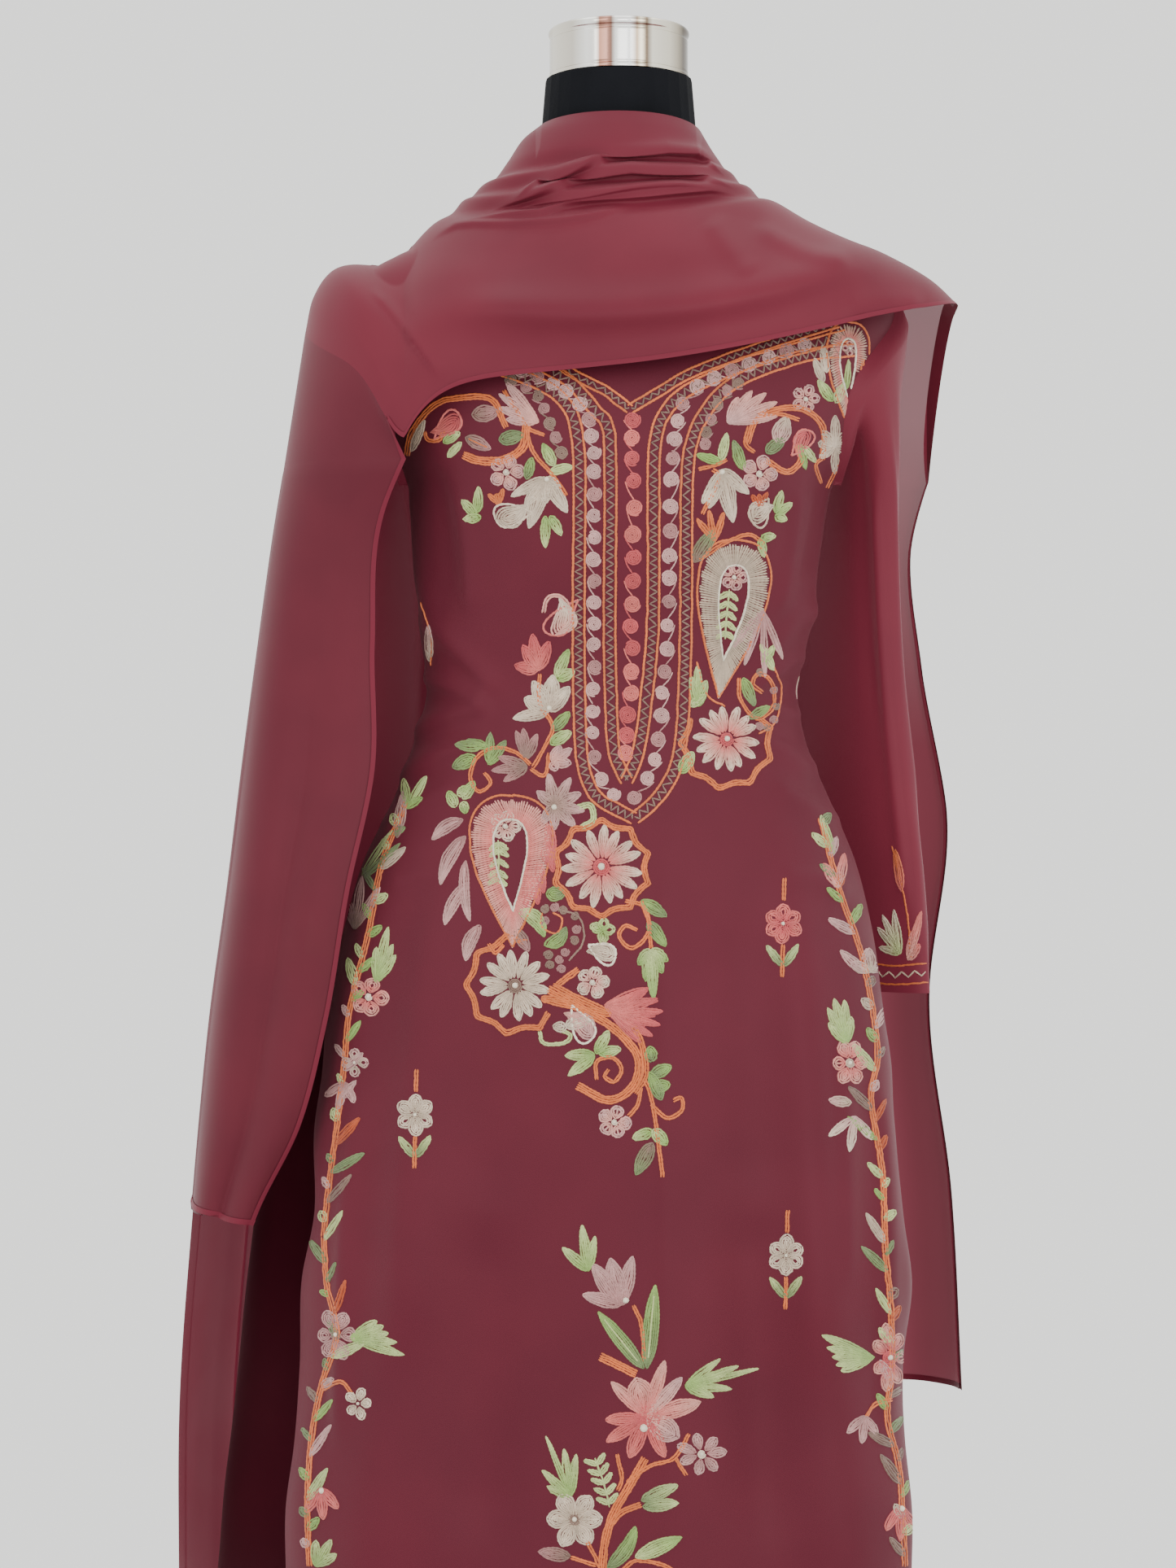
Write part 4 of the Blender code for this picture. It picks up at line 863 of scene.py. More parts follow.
# The bunched folds at the neck lap like clapboards: each crest falls off steeply below it.
COWL_CREASES = [
    ([(630, 247), (665, 229), (709, 210), (753, 196), (786, 191), (819, 188), (852, 191), (876, 205),
        (893, 218)], 11, 6.5, 6.0),
    ([(596, 262), (632, 250), (676, 235), (720, 221), (753, 214), (775, 211), (813, 214), (846, 216),
    (885, 224), (907, 232)], 9, 5.5, 5.0),
    ([(612, 262), (650, 254), (687, 247), (731, 239), (786, 230), (835, 227), (880, 231)], 6, 2.4, 3.0),
    ([(572, 270), (621, 265), (665, 263), (693, 254), (720, 248), (764, 245), (797, 242), (835, 238),
    (874, 235), (915, 239)], 7, 4.5, 5.0),
    ([(525, 298), (561, 278), (627, 272), (687, 268), (720, 263), (753, 255), (790, 246)], 7, 2.6, 3.0),
    ([(548, 287), (616, 284), (676, 284), (731, 274), (797, 260), (857, 256), (918, 266), (972, 288),
    (1038, 325)], 24, -4.0, 0.4),
    ([(517, 383), (610, 384), (709, 388), (797, 384), (863, 377), (956, 358), (1066, 325), (1100, 322)], 26,
    5.5, 1.8),
    ([(480, 410), (600, 425), (720, 425), (840, 412), (960, 392), (1060, 366)], 22, -3.5, 1.0),
    ([(540, 335), (640, 327), (760, 330), (860, 325), (960, 305)], 34, -3.0, 1.0),
    ([(868, 262), (885, 285), (905, 312), (925, 342)], 18, 2.0, 1.5),
    ([(925, 268), (965, 295), (1000, 315), (1050, 330)], 16, 2.6, 1.4),
    ([(452, 352), (486, 390), (520, 435), (545, 468)], 9, 1.8, 2.2),
    ([(1030, 380), (1080, 372), (1140, 372)], 14, 2.0, 1.4),
]
SCARF_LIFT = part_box("dupatta_right_back")[0].z - RIGHT_BACK_HEM


def corner_sag(points, rows=100):
    """The lower edge drops in a curve to the left fall's free edge, instead of meeting it square."""
    px = in_picture(points)[..., 0]
    drop = np.where(px > 497, np.exp(-(px - 497) / 38), np.exp(-(((px - 497) / 42) ** 2))) * 0.048
    fade = smooth(1 - np.arange(len(points)) / rows)[:, None]
    points = points.copy()
    points[..., 2] -= drop * fade
    return clear_of_kameez(points, "front")


def flared(points):
    """The middle's right end stands out a little where its edge turns over."""
    points = points.copy()
    points[..., 0] += 0.014 * np.exp(-(((points[..., 2] - 1.295) / 0.045) ** 2)) * smooth((points[...,
        0] - 0.18) / 0.06)
    return points


cowl_flat = flared(corner_sag(cowl_grid())) + np.array([0, 0, SCARF_LIFT])
cowl_points = creased(cowl_flat, COWL_CREASES)
dupatta_cowl = cloth_sheet("dupatta_cowl_cloth", cowl_points, layered)
print("scarf middle:", cowl_points.shape, "lift", round(SCARF_LIFT, 4))


# %% Dupatta falls
def hanging_line(columns, z, reach_x, reach_y, at):
    """Cloth at one height, from the outer fold (at 0) round to the free edge (at 1)."""
    turn = np.clip(at, 0, 1) * math.pi / 2
    fold = [float(reading(columns, n, z)) for n in ("x", "y")]
    edge = [float(reading(columns, n, z)) for n in (reach_x, reach_y)]
    x = fold[0] + (edge[0] - fold[0]) * (1 - np.cos(turn))
    y = fold[1] + (edge[1] - fold[1]) * np.sin(turn) ** 0.85
    return np.column_stack([x, y, np.full(len(at), z)])


def pleated(at, grown, pleats):
    """Where each warp thread hangs once the cloth has closed into pleats, and how far it stands out."""
    moved = at.copy()
    stand = np.zeros_like(at)
    for count, fold_back, depth, phase in pleats:
        wave = 2 * math.pi * (count * at + phase)
        inside = smooth(at * 8) * smooth((1 - at) * 8)
        moved += fold_back / count * np.sin(wave) * grown * inside
        stand += depth * np.cos(wave) * grown * inside
    return moved, stand


def fall_behind(start, columns, hem, pleats, upper=44, lower=110):
    """A stretch that leaves the shoulder line, lies down the back and hangs to its hem."""
    even = np.linspace(0, 1, len(start))
    goal = hanging_line(columns, FALL_TOP, "back_x", "back_y", even)
    layers = [start]
    for share in np.linspace(0, 1, upper + 1)[1:]:
        reach = math.sqrt(1 - (1 - share) ** 2)
        layers.append(clear_of_kameez(start + (goal - start) * np.array([share, reach, share]), "back"))
    for z in np.linspace(FALL_TOP, hem, lower + 1)[1:]:
        at, stand = pleated(even, float(smooth((FALL_TOP - z) / 0.30)), pleats)
        line = clear_of_kameez(hanging_line(columns, z, "back_x", "back_y", at), "back")
        line[:, 1] += 0.004 + stand * smooth(even * 6)
        layers.append(line)
    return np.array(layers)


def fall_in_front(top, pleats, upper=30, lower=100):
    even = np.linspace(0, 1, len(top))
    goal = hanging_line(LEFT_FALL, FALL_TOP, "front_x", "front_y", even)
    layers = [top]
    for share in np.linspace(0, 1, upper + 1)[1:]:
        layers.append(clear_of_kameez(top + (goal - top) * share, "front"))
    for z in np.linspace(FALL_TOP, LEFT_FRONT_HEM, lower + 1)[1:]:
        at, stand = pleated(even, float(smooth((FALL_TOP - z) / 0.30)), pleats)
        line = clear_of_kameez(hanging_line(LEFT_FALL, z, "front_x", "front_y", at), "front")
        line[:, 1] -= 0.002 + stand
        layers.append(line)
    layers[-1][:, 2] += 0.012 * (1 - even)
    return np.array(layers)


COWL_CORNER = 65
LIFTED = np.array([0, 0, SCARF_LIFT])
cowl_edge = cowl_flat - LIFTED
left_front_points = fall_in_front(cowl_edge[0, : COWL_CORNER + 1], [(2, 0.10, 0.004, 0.15)]) + LIFTED
left_back_points = fall_behind(cowl_edge[:, 0], LEFT_FALL, LEFT_BACK_HEM,
    [(4, 0.22, 0.006, 0.1), (7, 0.05, 0.002, 0.4)]) + LIFTED
right_back_points = fall_behind(cowl_edge[:, -1], RIGHT_FALL, RIGHT_BACK_HEM,
    [(3, 0.24, 0.006, 0.3), (7, 0.05, 0.002, 0.0)]) + LIFTED
# Below the waist the fold of the right fall hangs a little further out
FOLD_OUT, OUT_FROM, OUT_FULLY = 0.009, 1.15, 0.95
out_down = np.clip((OUT_FROM - right_back_points[..., 2]) / (OUT_FROM - OUT_FULLY), 0, 1)
right_back_points[..., 0] += FOLD_OUT * out_down * np.linspace(1, 0, right_back_points.shape[1])
# Long shallow folds of the front fall, and the inner edge of its doubled part
LEFT_FALL_CREASES = [
    ([(386, 392), (410, 500), (430, 620), (452, 740), (470, 900)], 10, 5.0, 2.2),
    ([(352, 640), (334, 900), (306, 1160), (286, 1400)], 24, 7.0, 1.6),
    ([(418, 700), (402, 900), (374, 1100), (350, 1320)], 18, -6.0, 1.0),
    ([(442, 760), (436, 900), (412, 1080), (380, 1290)], 14, 6.0, 1.8),
    ([(318, 1000), (300, 1180), (276, 1400)], 14, -4.5, 1.0),
]
left_front_points = creased(left_front_points, LEFT_FALL_CREASES)
falls = {}
for name, points, material in (
    ("dupatta_left_front", left_front_points, double_painted_shade),
    ("dupatta_left_back", left_back_points, hanging_painted_glow),
    ("dupatta_right_back", right_back_points, single_painted_glow),
):
    falls[name] = cloth_sheet(name + "_cloth", points, material)
    print(name, points.shape)


def hem(name, edge, inner, wide):
    """A folded hem: a narrow strip of denser cloth from an edge towards the line inside it."""
    way = inner - edge
    way = way / np.maximum(np.linalg.norm(way, axis=-1, keepdims=True), 1e-9) * wide
    lift = np.array([0, -0.0007, 0.0])
    strip = np.stack([edge + lift, edge + way * 0.5 + lift * 1.4, edge + way + lift], axis=1)
    return cloth_sheet(name, strip, hemmed)


hems = {
    "cowl": [hem("cowl_hem", cowl_points[0, COWL_CORNER:], cowl_points[6, COWL_CORNER:], 0.0035)],
    "dupatta_left_front": [
        hem("left_front_edge_hem", left_front_points[:, -1], left_front_points[:, -6], 0.0035),
        hem("left_front_foot_hem", left_front_points[-1], left_front_points[-4], 0.0045),
    ],
    "dupatta_left_back": [
        hem("left_back_edge_hem", left_back_points[:, -1], left_back_points[:, -5], 0.0035),
        hem("left_back_foot_hem", left_back_points[-1], left_back_points[-4], 0.0045),
    ],
    "dupatta_right_back": [
        hem("right_back_fold_hem", right_back_points[:, 0], right_back_points[:, 6], 0.0110),
        hem("right_back_edge_hem", right_back_points[:, -1], right_back_points[:, -5], 0.0035),
        hem("right_back_foot_hem", right_back_points[-1], right_back_points[-4], 0.0045),
    ],
}
for cloth, node in ((dupatta_cowl, "dupatta_cowl"), *((falls[n], n) for n in falls)):
    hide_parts(node)

# %% [markdown]
# ## The dress form
#
# The form is a firm body under black stretch jersey, with a chromed cap on its neck. The jersey
# keeps its CAD solid and only gets a knit. The cap is turned again with the beads that its rolled
# edges have, because a chrome surface shows its shape only in what it mirrors.

# %% Dress form
def jersey_material():
    made = plain_material("black_jersey", (0.010, 0.010, 0.012), 0.85)
    tree, shader = shader_of(made)
    weave = use_group(tree, crepe_weave, Threads=700.0, Patches=14.0)
    tree.links.new(two_tones(tree, weave.outputs["Tone"], (0.003, 0.0035, 0.005), (0.006, 0.0065, 0.009)),
        shader.inputs["Base Color"])
    height = add_node(tree, "Bump", Strength=0.5, Distance=0.0006, Height=weave.outputs["Height"])
    tree.links.new(height.outputs["Normal"], shader.inputs["Normal"])
    shader.inputs["Specular IOR Level"].default_value = 0.12
    return made


def metal_material(name, colour, roughness, metallic, wear):
    """A metal whose polish varies a little in fine turned lines."""
    made = plain_material(name, colour, roughness, metallic)
    tree, shader = shader_of(made)
    place = add_node(tree, "TexCoord").outputs["Object"]
    stretched = add_node(tree, "Mapping", Vector=place, Scale=(6.0, 6.0, 420.0))
    lines = add_node(tree, "TexNoise", Vector=stretched.outputs["Vector"], Scale=3.0, Detail=2.0)
    polish = add_node(tree, "MapRange", Value=lines.outputs["Fac"], i1=0.3, i2=0.7, i3=roughness,
        i4=roughness + wear)
    tree.links.new(polish.outputs["Result"], shader.inputs["Roughness"])
    return made


def painted_reflection_bands(material, radius):
    """Painted reflection: upright light and dark bands painted into the chrome's base colour across the cap,
    as a bright room would stand in polished chrome.
    """
    tree, shader = shader_of(material)
    place = add_node(tree, "SeparateXYZ", Vector=add_node(tree, "TexCoord").outputs["Object"])
    across = add_node(tree, "MapRange", Value=place.outputs["X"], i1=-radius, i2=radius, i3=0.0, i4=1.0)
    ramp = add_node(tree, "ValToRGB", i0=across.outputs["Result"])
    # Painted reflection bands, from one side of the cap to the other.
    colours = [
        (0.00, (0.16, 0.13, 0.10)), (0.03, (0.50, 0.45, 0.37)), (0.09, (0.78, 0.74, 0.64)),
            (0.22, (0.66, 0.62, 0.54)),
        (0.32, (1.00, 1.00, 0.97)), (0.38, (0.92, 0.90, 0.84)), (0.41, (0.34, 0.17, 0.12)),
        (0.46, (0.52, 0.27, 0.21)),
        (0.49, (0.30, 0.16, 0.12)), (0.52, (0.97, 0.96, 0.92)), (0.62, (1.00, 1.00, 1.00)),
        (0.67, (0.36, 0.26, 0.18)),
        (0.70, (0.78, 0.70, 0.55)), (0.74, (0.22, 0.15, 0.10)), (0.78, (0.90, 0.86, 0.74)),
        (0.90, (0.76, 0.71, 0.59)),
        (0.96, (0.46, 0.41, 0.32)), (1.00, (0.12, 0.10, 0.08)),
    ]
    stops = ramp.color_ramp.elements
    stops[0].position, stops[1].position = colours[0][0], colours[-1][0]
    stops[0].color, stops[-1].color = (*colours[0][1], 1), (*colours[-1][1], 1)
    for position, colour in colours[1:-1]:
        stops.new(position).color = (*colour, 1)
    tree.links.new(ramp.outputs["Color"], shader.inputs["Base Color"])


def turned(name, profile, centre, material, sides=96):
    """A shape turned round an upright axis from (radius, height) pairs."""
    turn = np.linspace(0, 2 * math.pi, sides, endpoint=False)
    points = [(centre + r * math.cos(a), r * math.sin(a), z) for r, z in profile for a in turn]
    faces = [(r * sides + c, r * sides + (c + 1) % sides, (r + 1) * sides + (c + 1) % sides,
        (r + 1) * sides + c)
             for r in range(len(profile) - 1) for c in range(sides)]
    faces += [tuple(range(sides))[::-1], tuple((len(profile) - 1) * sides + c for c in range(sides))]
    return add_mesh(name, points, faces, material)


def beaded_cap():
    """The neck cap: a bead at its foot, a groove, a plain band, a groove and a rounded rim."""
    low, high = (corner.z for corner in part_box("form_cap"))
    radius = (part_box("form_cap")[1].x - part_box("form_cap")[0].x) / 2
    profile = [(radius - 0.0012, low)]
    profile += [(radius - 0.0012 + 0.0012 * math.sin(a),
        low + 0.002 - 0.002 * math.cos(a)) for a in np.linspace(0, math.pi, 9)]
    profile += [(radius - 0.0022, low + 0.0046), (radius - 0.0010, low + 0.0054)]
    profile += [(radius - 0.0010, low + 0.0062), (radius - 0.0010, high - 0.0098)]
    profile += [(radius - 0.0010, high - 0.0090), (radius - 0.0022, high - 0.0082),
        (radius - 0.0022, high - 0.0076)]
    profile += [(radius - 0.0034 + 0.0034 * math.sin(a),
        high - 0.0034 - 0.0034 * math.cos(a)) for a in np.linspace(0.6, math.pi, 11)]
    profile += [(radius - 0.0060, high - 0.0002), (radius - 0.0085, high - 0.0012), (0.004, high - 0.0016)]
    return turned("neck_cap", profile, (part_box("form_cap")[0].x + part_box("form_cap")[1].x) / 2, chrome)


chrome = metal_material("chrome", (0.86, 0.84, 0.78), 0.12, 1.0, 0.06)
stand_paint = metal_material("stand_paint", (0.030, 0.030, 0.032), 0.36, 0.4, 0.14)
# The cap's reflections are painted into its base colour as upright bands.
painted_reflection_bands(chrome, (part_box("form_cap")[1].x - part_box("form_cap")[0].x) / 2)
cap = beaded_cap()
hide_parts("form_cap")
for node, material in (("form_torso", jersey_material()), ("form_pole", stand_paint),
    ("form_base", stand_paint)):
    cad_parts[node].data.materials.clear()
    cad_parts[node].data.materials.append(material)
    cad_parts[node].data.shade_smooth()
print("form dressed")
# %% [markdown]
# ## Embroidery
#
# The flowers, paisleys and borders are Kashmiri chain stitch: rows of small loops laid side by
# side, following each shape inwards. A row is drawn as a line in the picture, dropped onto the
# cloth by rays from the camera, and built as a low ridge that swells at every loop. Motifs are
# ways of laying rows: a petal's rows run round it, a dot's row coils, a ruffle's rows cross it.

# %% Thread material
def thread_material():
    """Silk floss: the dye comes from each row's own colour, the strands from the weave UV."""
    made = plain_material("silk_floss", (0.5, 0.3, 0.2), 0.48)
    tree, shader = shader_of(made)
    dye = add_node(tree, "VertexColor", {"layer_name": "thread"})
    strands = use_group(tree, thread_strands, Strands=900.0, Slant=1.0)
    tone = add_node(tree, "MapRange", Value=strands.outputs["Tone"], i1=0.3, i2=0.7, i3=0.86, i4=1.08)
    dyed = add_node(tree, "VectorMath", {"operation": "SCALE"}, i0=dye.outputs["Color"],
        Scale=tone.outputs["Result"])
    tree.links.new(dyed.outputs["Vector"], shader.inputs["Base Color"])
    height = add_node(tree, "Bump", Strength=0.5, Distance=0.0003, Height=strands.outputs["Height"])
    tree.links.new(height.outputs["Normal"], shader.inputs["Normal"])
    shader.inputs["Sheen Weight"].default_value = 0.15
    shader.inputs["Specular IOR Level"].default_value = 0.35
    return made


floss = thread_material()


def dyed(red, green, blue):
    """A thread colour as it looks on a colour card (0 to 255), made linear."""
    return np.array([0.92 * (v / 255) ** 2.5 for v in (red, green, blue)])


ORANGE, RUST = dyed(222, 124, 72), dyed(190, 92, 52)
ROSE, CORAL, PINK = dyed(200, 92, 96), dyed(222, 122, 116), dyed(226, 166, 154)
MAUVE, LILAC, TAUPE = dyed(182, 134, 132), dyed(206, 164, 160), dyed(142, 116, 104)
CREAM, BUFF, WHITE = dyed(226, 208, 188), dyed(198, 178, 158), dyed(238, 228, 208)
GREEN, PALE_GREEN, SAGE = dyed(152, 182, 104), dyed(196, 208, 146), dyed(128, 144, 100)
print("thread colours ready")

# %% Rows of stitches
PITCH = 2.7


def between(first, last, share):
    return first + (last - first) * np.clip(share, 0, 1)[..., None]


class Stitching:
    """Chain-stitch rows on one cloth, gathered for one mesh. Sizes are picture pixels."""

    def __init__(self, name, cloth_points, seed, closed=False):
        rows, columns = cloth_points.shape[:2]
        faces = [(r * columns + c, r * columns + (c + 1) % columns, (r + 1) * columns + (c + 1) % columns,
            (r + 1) * columns + c)
                 for r in range(rows - 1) for c in range(columns if closed else columns - 1)]
        self.cloth = BVHTree.FromPolygons(cloth_points.reshape(-1, 3).tolist(), faces)
        self.name = name
        self.draw = np.random.default_rng(seed)
        self.points, self.faces, self.uvs, self.colours = [], [], [], []
        self.eye = Vector(EYE)

    def land(self, px, py):
        hit, normal = self.cloth.ray_cast(self.eye, ray_through(px, py))[:2]
        return None if hit is None else (hit, normal if normal.y < 0 else -normal)

    def row(self, line, colour, last=None, width=3.0, height=0.75, wobble=0.25):
        """One row along a line of picture places, dyed from colour to last."""
        line = np.asarray(line, float)
        line = line + self.draw.normal(0, wobble, line.shape)
        landed = [self.land(*place) for place in spline(line, 2.3)]
        landed = [place for place in landed if place]
        if len(landed) < 3:
            return
        spots = np.array([hit for hit, _ in landed])
        normals = unit(np.array([normal for _, normal in landed]))
        ways = unit(np.gradient(spots, axis=0))
        sides = unit(np.cross(normals, ways))
        count = len(spots)
        loops = np.where(np.arange(count) % 2, 1.0, 0.74) * self.draw.uniform(0.92, 1.08, count)
        ends = np.minimum(np.arange(count) + 0.6, np.arange(count)[::-1] + 0.6).clip(0, 1)
        half = width * 0.5 * 0.000606 * loops * ends
        top = height * 0.001 * (0.6 + 0.4 * loops) * ends
        profile = ((-1.0, -0.2), (-0.55, 0.95), (0.55, 0.95), (1.0, -0.2))
        ring = [spots + sides * (half * a)[:, None] + normals * (top * b)[:, None] for a, b in profile]
        along = np.concatenate([[0], np.linalg.norm(np.diff(spots, axis=0), axis=1).cumsum()])
        share = np.linspace(0, 1, count)
        shade = between(colour, colour if last is None else last, share) * self.draw.uniform(0.88, 1.07)
        base = sum(len(p) for p in self.points)
        self.points.append(np.stack(ring, axis=1).reshape(-1, 3))
        across = np.array([-0.0012, -0.0004, 0.0004, 0.0012])
        self.uvs.append(np.stack([np.tile(across, count), np.repeat(along, 4)], axis=-1))
        self.colours.append(np.repeat(shade, 4, axis=0))
        for k in range(count - 1):
            low = base + 4 * k
            self.faces += [(low + j, low + j + 1, low + j + 5, low + j + 4) for j in range(3)]

    def knot(self, place, radius, colour=WHITE):
        """A round knot of thread: a dome of three rings."""
        landed = self.land(*place)
        if not landed:
            return
        hit, normal = landed
        hit, normal = np.array(hit), np.array(normal)
        side = unit(np.cross(normal, (0, 0, 1.0)))
        up = np.cross(side, normal)
        size = radius * 0.000606
        base = sum(len(p) for p in self.points)
        made = []
        for out, rise in ((1.0, 0.0), (0.8, 0.75), (0.35, 1.15)):
            for turn in np.linspace(0, 2 * math.pi, 9)[:-1]:
                spread = side * math.cos(turn) + up * math.sin(turn)
                made.append(hit + spread * size * out * self.draw.uniform(0.9, 1.1) + normal * size * rise)
        made.append(hit + normal * size * 1.2)
        self.points.append(np.array(made))
        self.uvs.append(np.array(made)[:, [0, 2]])
        self.colours.append(np.tile(colour, (len(made), 1)))
        for r in (0, 8):
            self.faces += [(base + r + k, base + r + (k + 1) % 8, base + r + 8 + (k + 1) % 8,
                base + r + 8 + k) for k in range(8)]
        self.faces += [(base + 16 + k, base + 16 + (k + 1) % 8, base + 24) for k in range(8)]

    def finish(self):
        made = add_mesh(self.name, np.vstack(self.points), self.faces, floss, np.vstack(self.uvs))
        layer = made.data.color_attributes.new("thread", "FLOAT_COLOR", "POINT")
        colours = np.column_stack([np.vstack(self.colours), np.ones(len(made.data.vertices))])
        layer.data.foreach_set("color", colours.astype(np.float32).ravel())
        print(self.name, len(made.data.polygons) * 2, "triangles")
        return made


print("stitching ready")

# %% Motifs
class Motifs(Stitching):
    """Shapes laid in rows of chain stitch."""

    def petal(self, base, tip, width, colour, last=None, bend=0.0, full=0.85, vein=None):
        """Rows run round a petal or leaf. full under 1 puts its widest place nearer the base."""
        base, tip = np.asarray(base, float), np.asarray(tip, float)
        length = np.linalg.norm(tip - base)
        way = (tip - base) / length
        side = np.array([-way[1], way[0]])
        rings = max(int(round(width / 2 / PITCH)), 1)
        last = colour if last is None else last
        for k in range(rings):
            inset = k * PITCH
            t = np.linspace(0, 1, 9)
            run = inset + (length - 2 * inset) * t
            if length - 2 * inset < 2 * PITCH:
                break
            out = max(width / 2 - inset - PITCH / 2, 0.4) * np.sin(math.pi * t**full).clip(0) ** 0.7
            middle = base + way * run[:, None] + side * (bend * 4 * (run / length) * (1 - run / length))[:,
                None]
            left, right = middle + side * out[:, None], middle - side * out[:, None]
            dark = 0.90 + 0.10 * (k + 1) / rings
            self.row(left, colour * dark, last * dark)
            self.row(right[::-1], last * dark, colour * dark)
        if vein is not None or width / 2 - rings * PITCH > -0.5:
            t = np.linspace(0.12, 0.88, 5)
            middle = base + way * (length * t)[:, None] + side * (bend * 4 * t * (1 - t))[:, None]
            self.row(middle, colour if vein is None else vein, last if vein is None else vein, height=0.9)

    def coil(self, centre, radius, colour, turn=0.0):
        turns = max(radius / PITCH, 1.0)
        t = np.linspace(0, 1, int(turns * 9) + 4)
        angle = turn + 2 * math.pi * turns * t
        r = (radius - PITCH / 2) * (1 - 0.93 * t)
        line = np.column_stack([centre[0] + r * np.cos(angle), centre[1] + r * np.sin(angle)])
        self.row(line, colour, wobble=0.1)

    def dots(self, places, radius, colours, tail=None):
        """Coiled dots, each with an S tail to the next one."""
        places = [np.asarray(p, float) for p in places]
        for k, place in enumerate(places):
            self.coil(place, radius * self.draw.uniform(0.93, 1.05), colours[k % len(colours)],
                self.draw.uniform(0, 6))
            if tail is not None and k:
                before = places[k - 1]
                way = (place - before) / np.linalg.norm(place - before)
                side = np.array([way[1], -way[0]]) * -tail
                start, end = before + side * radius * 0.9, place - way * radius * 0.8
                self.row([start, (start + end) / 2 + side * radius * 0.15, end], colours[k % len(colours)],
                    width=2.2)

    def zigzag(self, line, colour, reach=3.0, period=8.5):
        line = spline(line, period / 2)
        ways = unit(np.gradient(line, axis=0))
        side = np.column_stack([-ways[:, 1], ways[:, 0]])
        swing = np.where(np.arange(len(line)) % 2, reach, -reach)[:, None]
        corners = line + side * swing
        fine = np.concatenate([np.linspace(a, b, 4)[:-1] for a, b in zip(corners, corners[1:])])
        self.row(fine, colour, width=2.6, wobble=0.1)

    def stem(self, line, colour=ORANGE, rows=2, last=None):
        """Rows side by side along a line."""
        line = spline(line, 5)
        ways = unit(np.gradient(line, axis=0))
        side = np.column_stack([-ways[:, 1], ways[:, 0]])
        for k in range(rows):
            self.row(line + side * (k - (rows - 1) / 2) * PITCH, colour, last)

    def band(self, line, rail=ORANGE, fill=TAUPE, width=12.0):
        """Two rails with a zigzag between them."""
        line = spline(line, 9)
        ways = unit(np.gradient(line, axis=0))
        side = np.column_stack([-ways[:, 1], ways[:, 0]]) * width / 2
        self.row(line + side, rail, width=3.4)
        self.row(line - side, rail, width=3.4)
        self.zigzag(line, fill, reach=width / 2 - 2.6)

    def flower(self, centre, radius, petals, width, colour, last, heart=CREAM, eye=WHITE, squash=1.0,
        turn=0.0, start=0.22):
        """Petals round a knotted heart, dyed from colour at the heart to last at the tips."""
        centre = np.asarray(centre, float)
        for k in range(petals):
            angle = turn + 2 * math.pi * k / petals + self.draw.normal(0, 0.05)
            out = np.array([math.cos(angle) * squash, math.sin(angle)])
            reach = radius * self.draw.uniform(0.93, 1.06)
            self.petal(centre + out * radius * start, centre + out * reach, width, colour, last, full=1.25)
        if heart is not None:
            self.coil(centre, max(radius * 0.24, 3.5), heart)
        self.knot(centre, max(radius * 0.09, 2.2), eye)

    def scallops(self, centre, radius, lobes, first, last, colour=ORANGE, rows=3, deep=0.13):
        """Part of a scalloped ring, from one angle to another, in degrees."""
        centre = np.asarray(centre, float)
        angle = np.radians(np.linspace(first, last, max(int(abs(last - first) / 5), 4)))
        for k in range(rows):
            r = (radius - k * PITCH) * (1 + deep * (1 - np.abs(np.cos(lobes * angle / 2))) - deep / 2)
            self.row(np.column_stack([centre[0] + r * np.cos(angle), centre[1] + r * np.sin(angle)]), colour)

    def drop(self, head, tip, width, bend, count=44):
        """The closed outline of a paisley, from its tip round its head and back."""
        head, tip = np.asarray(head, float), np.asarray(tip, float)
        way = head - tip
        side = np.array([-way[1], way[0]]) / np.linalg.norm(way)
        turn = np.linspace(0, math.pi, count // 2)
        run = (1 - np.cos(turn)) / 2
        out = width * 0.5 * np.sin(turn) ** 0.8 * run**0.7 * 1.28
        middle = tip + way * run[:, None] + side * (bend * (1 - run) ** 2)[:, None]
        return np.vstack([middle + side * out[:, None], (middle - side * out[:, None])[::-1]])

    def comma(self, head, tip, width, bend, colour, last=None, edge=None):
        """A small paisley: rows run round it as in a petal, inside an edge of its own thread."""
        self.petal(tip, head, width - 3, last if last is not None else colour, colour, bend=bend * 0.5,
            full=1.5)
        self.row(self.drop(head, tip, width, bend), colour if edge is None else edge, width=3.4, wobble=0.12)

    def ruffle(self, head, tip, width, bend, colours, inner=WHITE, rim=ORANGE):
        """A large paisley: short rows from its rim to an inner line, with open cloth inside."""
        outer = spline(self.drop(head, tip, width, bend), PITCH * 1.02)
        head, tip = np.asarray(head, float), np.asarray(tip, float)
        inside = self.drop(head + (tip - head) * 0.13, tip + (head - tip) * 0.24, width * 0.44, bend * 0.8)
        share = np.linspace(0, 1, len(outer))
        at = np.linspace(0, 1, len(inside))
        inner_line = np.column_stack([np.interp(share, at, inside[:, k]) for k in range(2)])
        for k, (far, near) in enumerate(zip(outer, inner_line)):
            reach = 1.0 + (0.05 if (k // 3) % 2 else -0.03)
            self.row([near, near + (far - near) * 0.5, near + (far - near) * reach], colours[0], colours[1],
                wobble=0.15)
        self.row(inside, inner, width=3.4, height=1.0)
        if rim is not None:
            self.row(self.drop(head + (head - tip) * 0.035, tip, width + 8, bend), rim, width=3.4)

    def fan(self, base, angle, spread, reaches, width, colour, last=None, vein=None):
        """Leaves or petals spread from one place. Angles are in degrees, 0 to the right, 90 up."""
        count = len(reaches)
        for k, reach in enumerate(reaches):
            turn = math.radians(angle + spread * (k / max(count - 1, 1) - 0.5))
            tip = (base[0] + reach * math.cos(turn), base[1] - reach * math.sin(turn))
            self.petal(base, tip, width, colour, last, full=1.15, vein=vein)

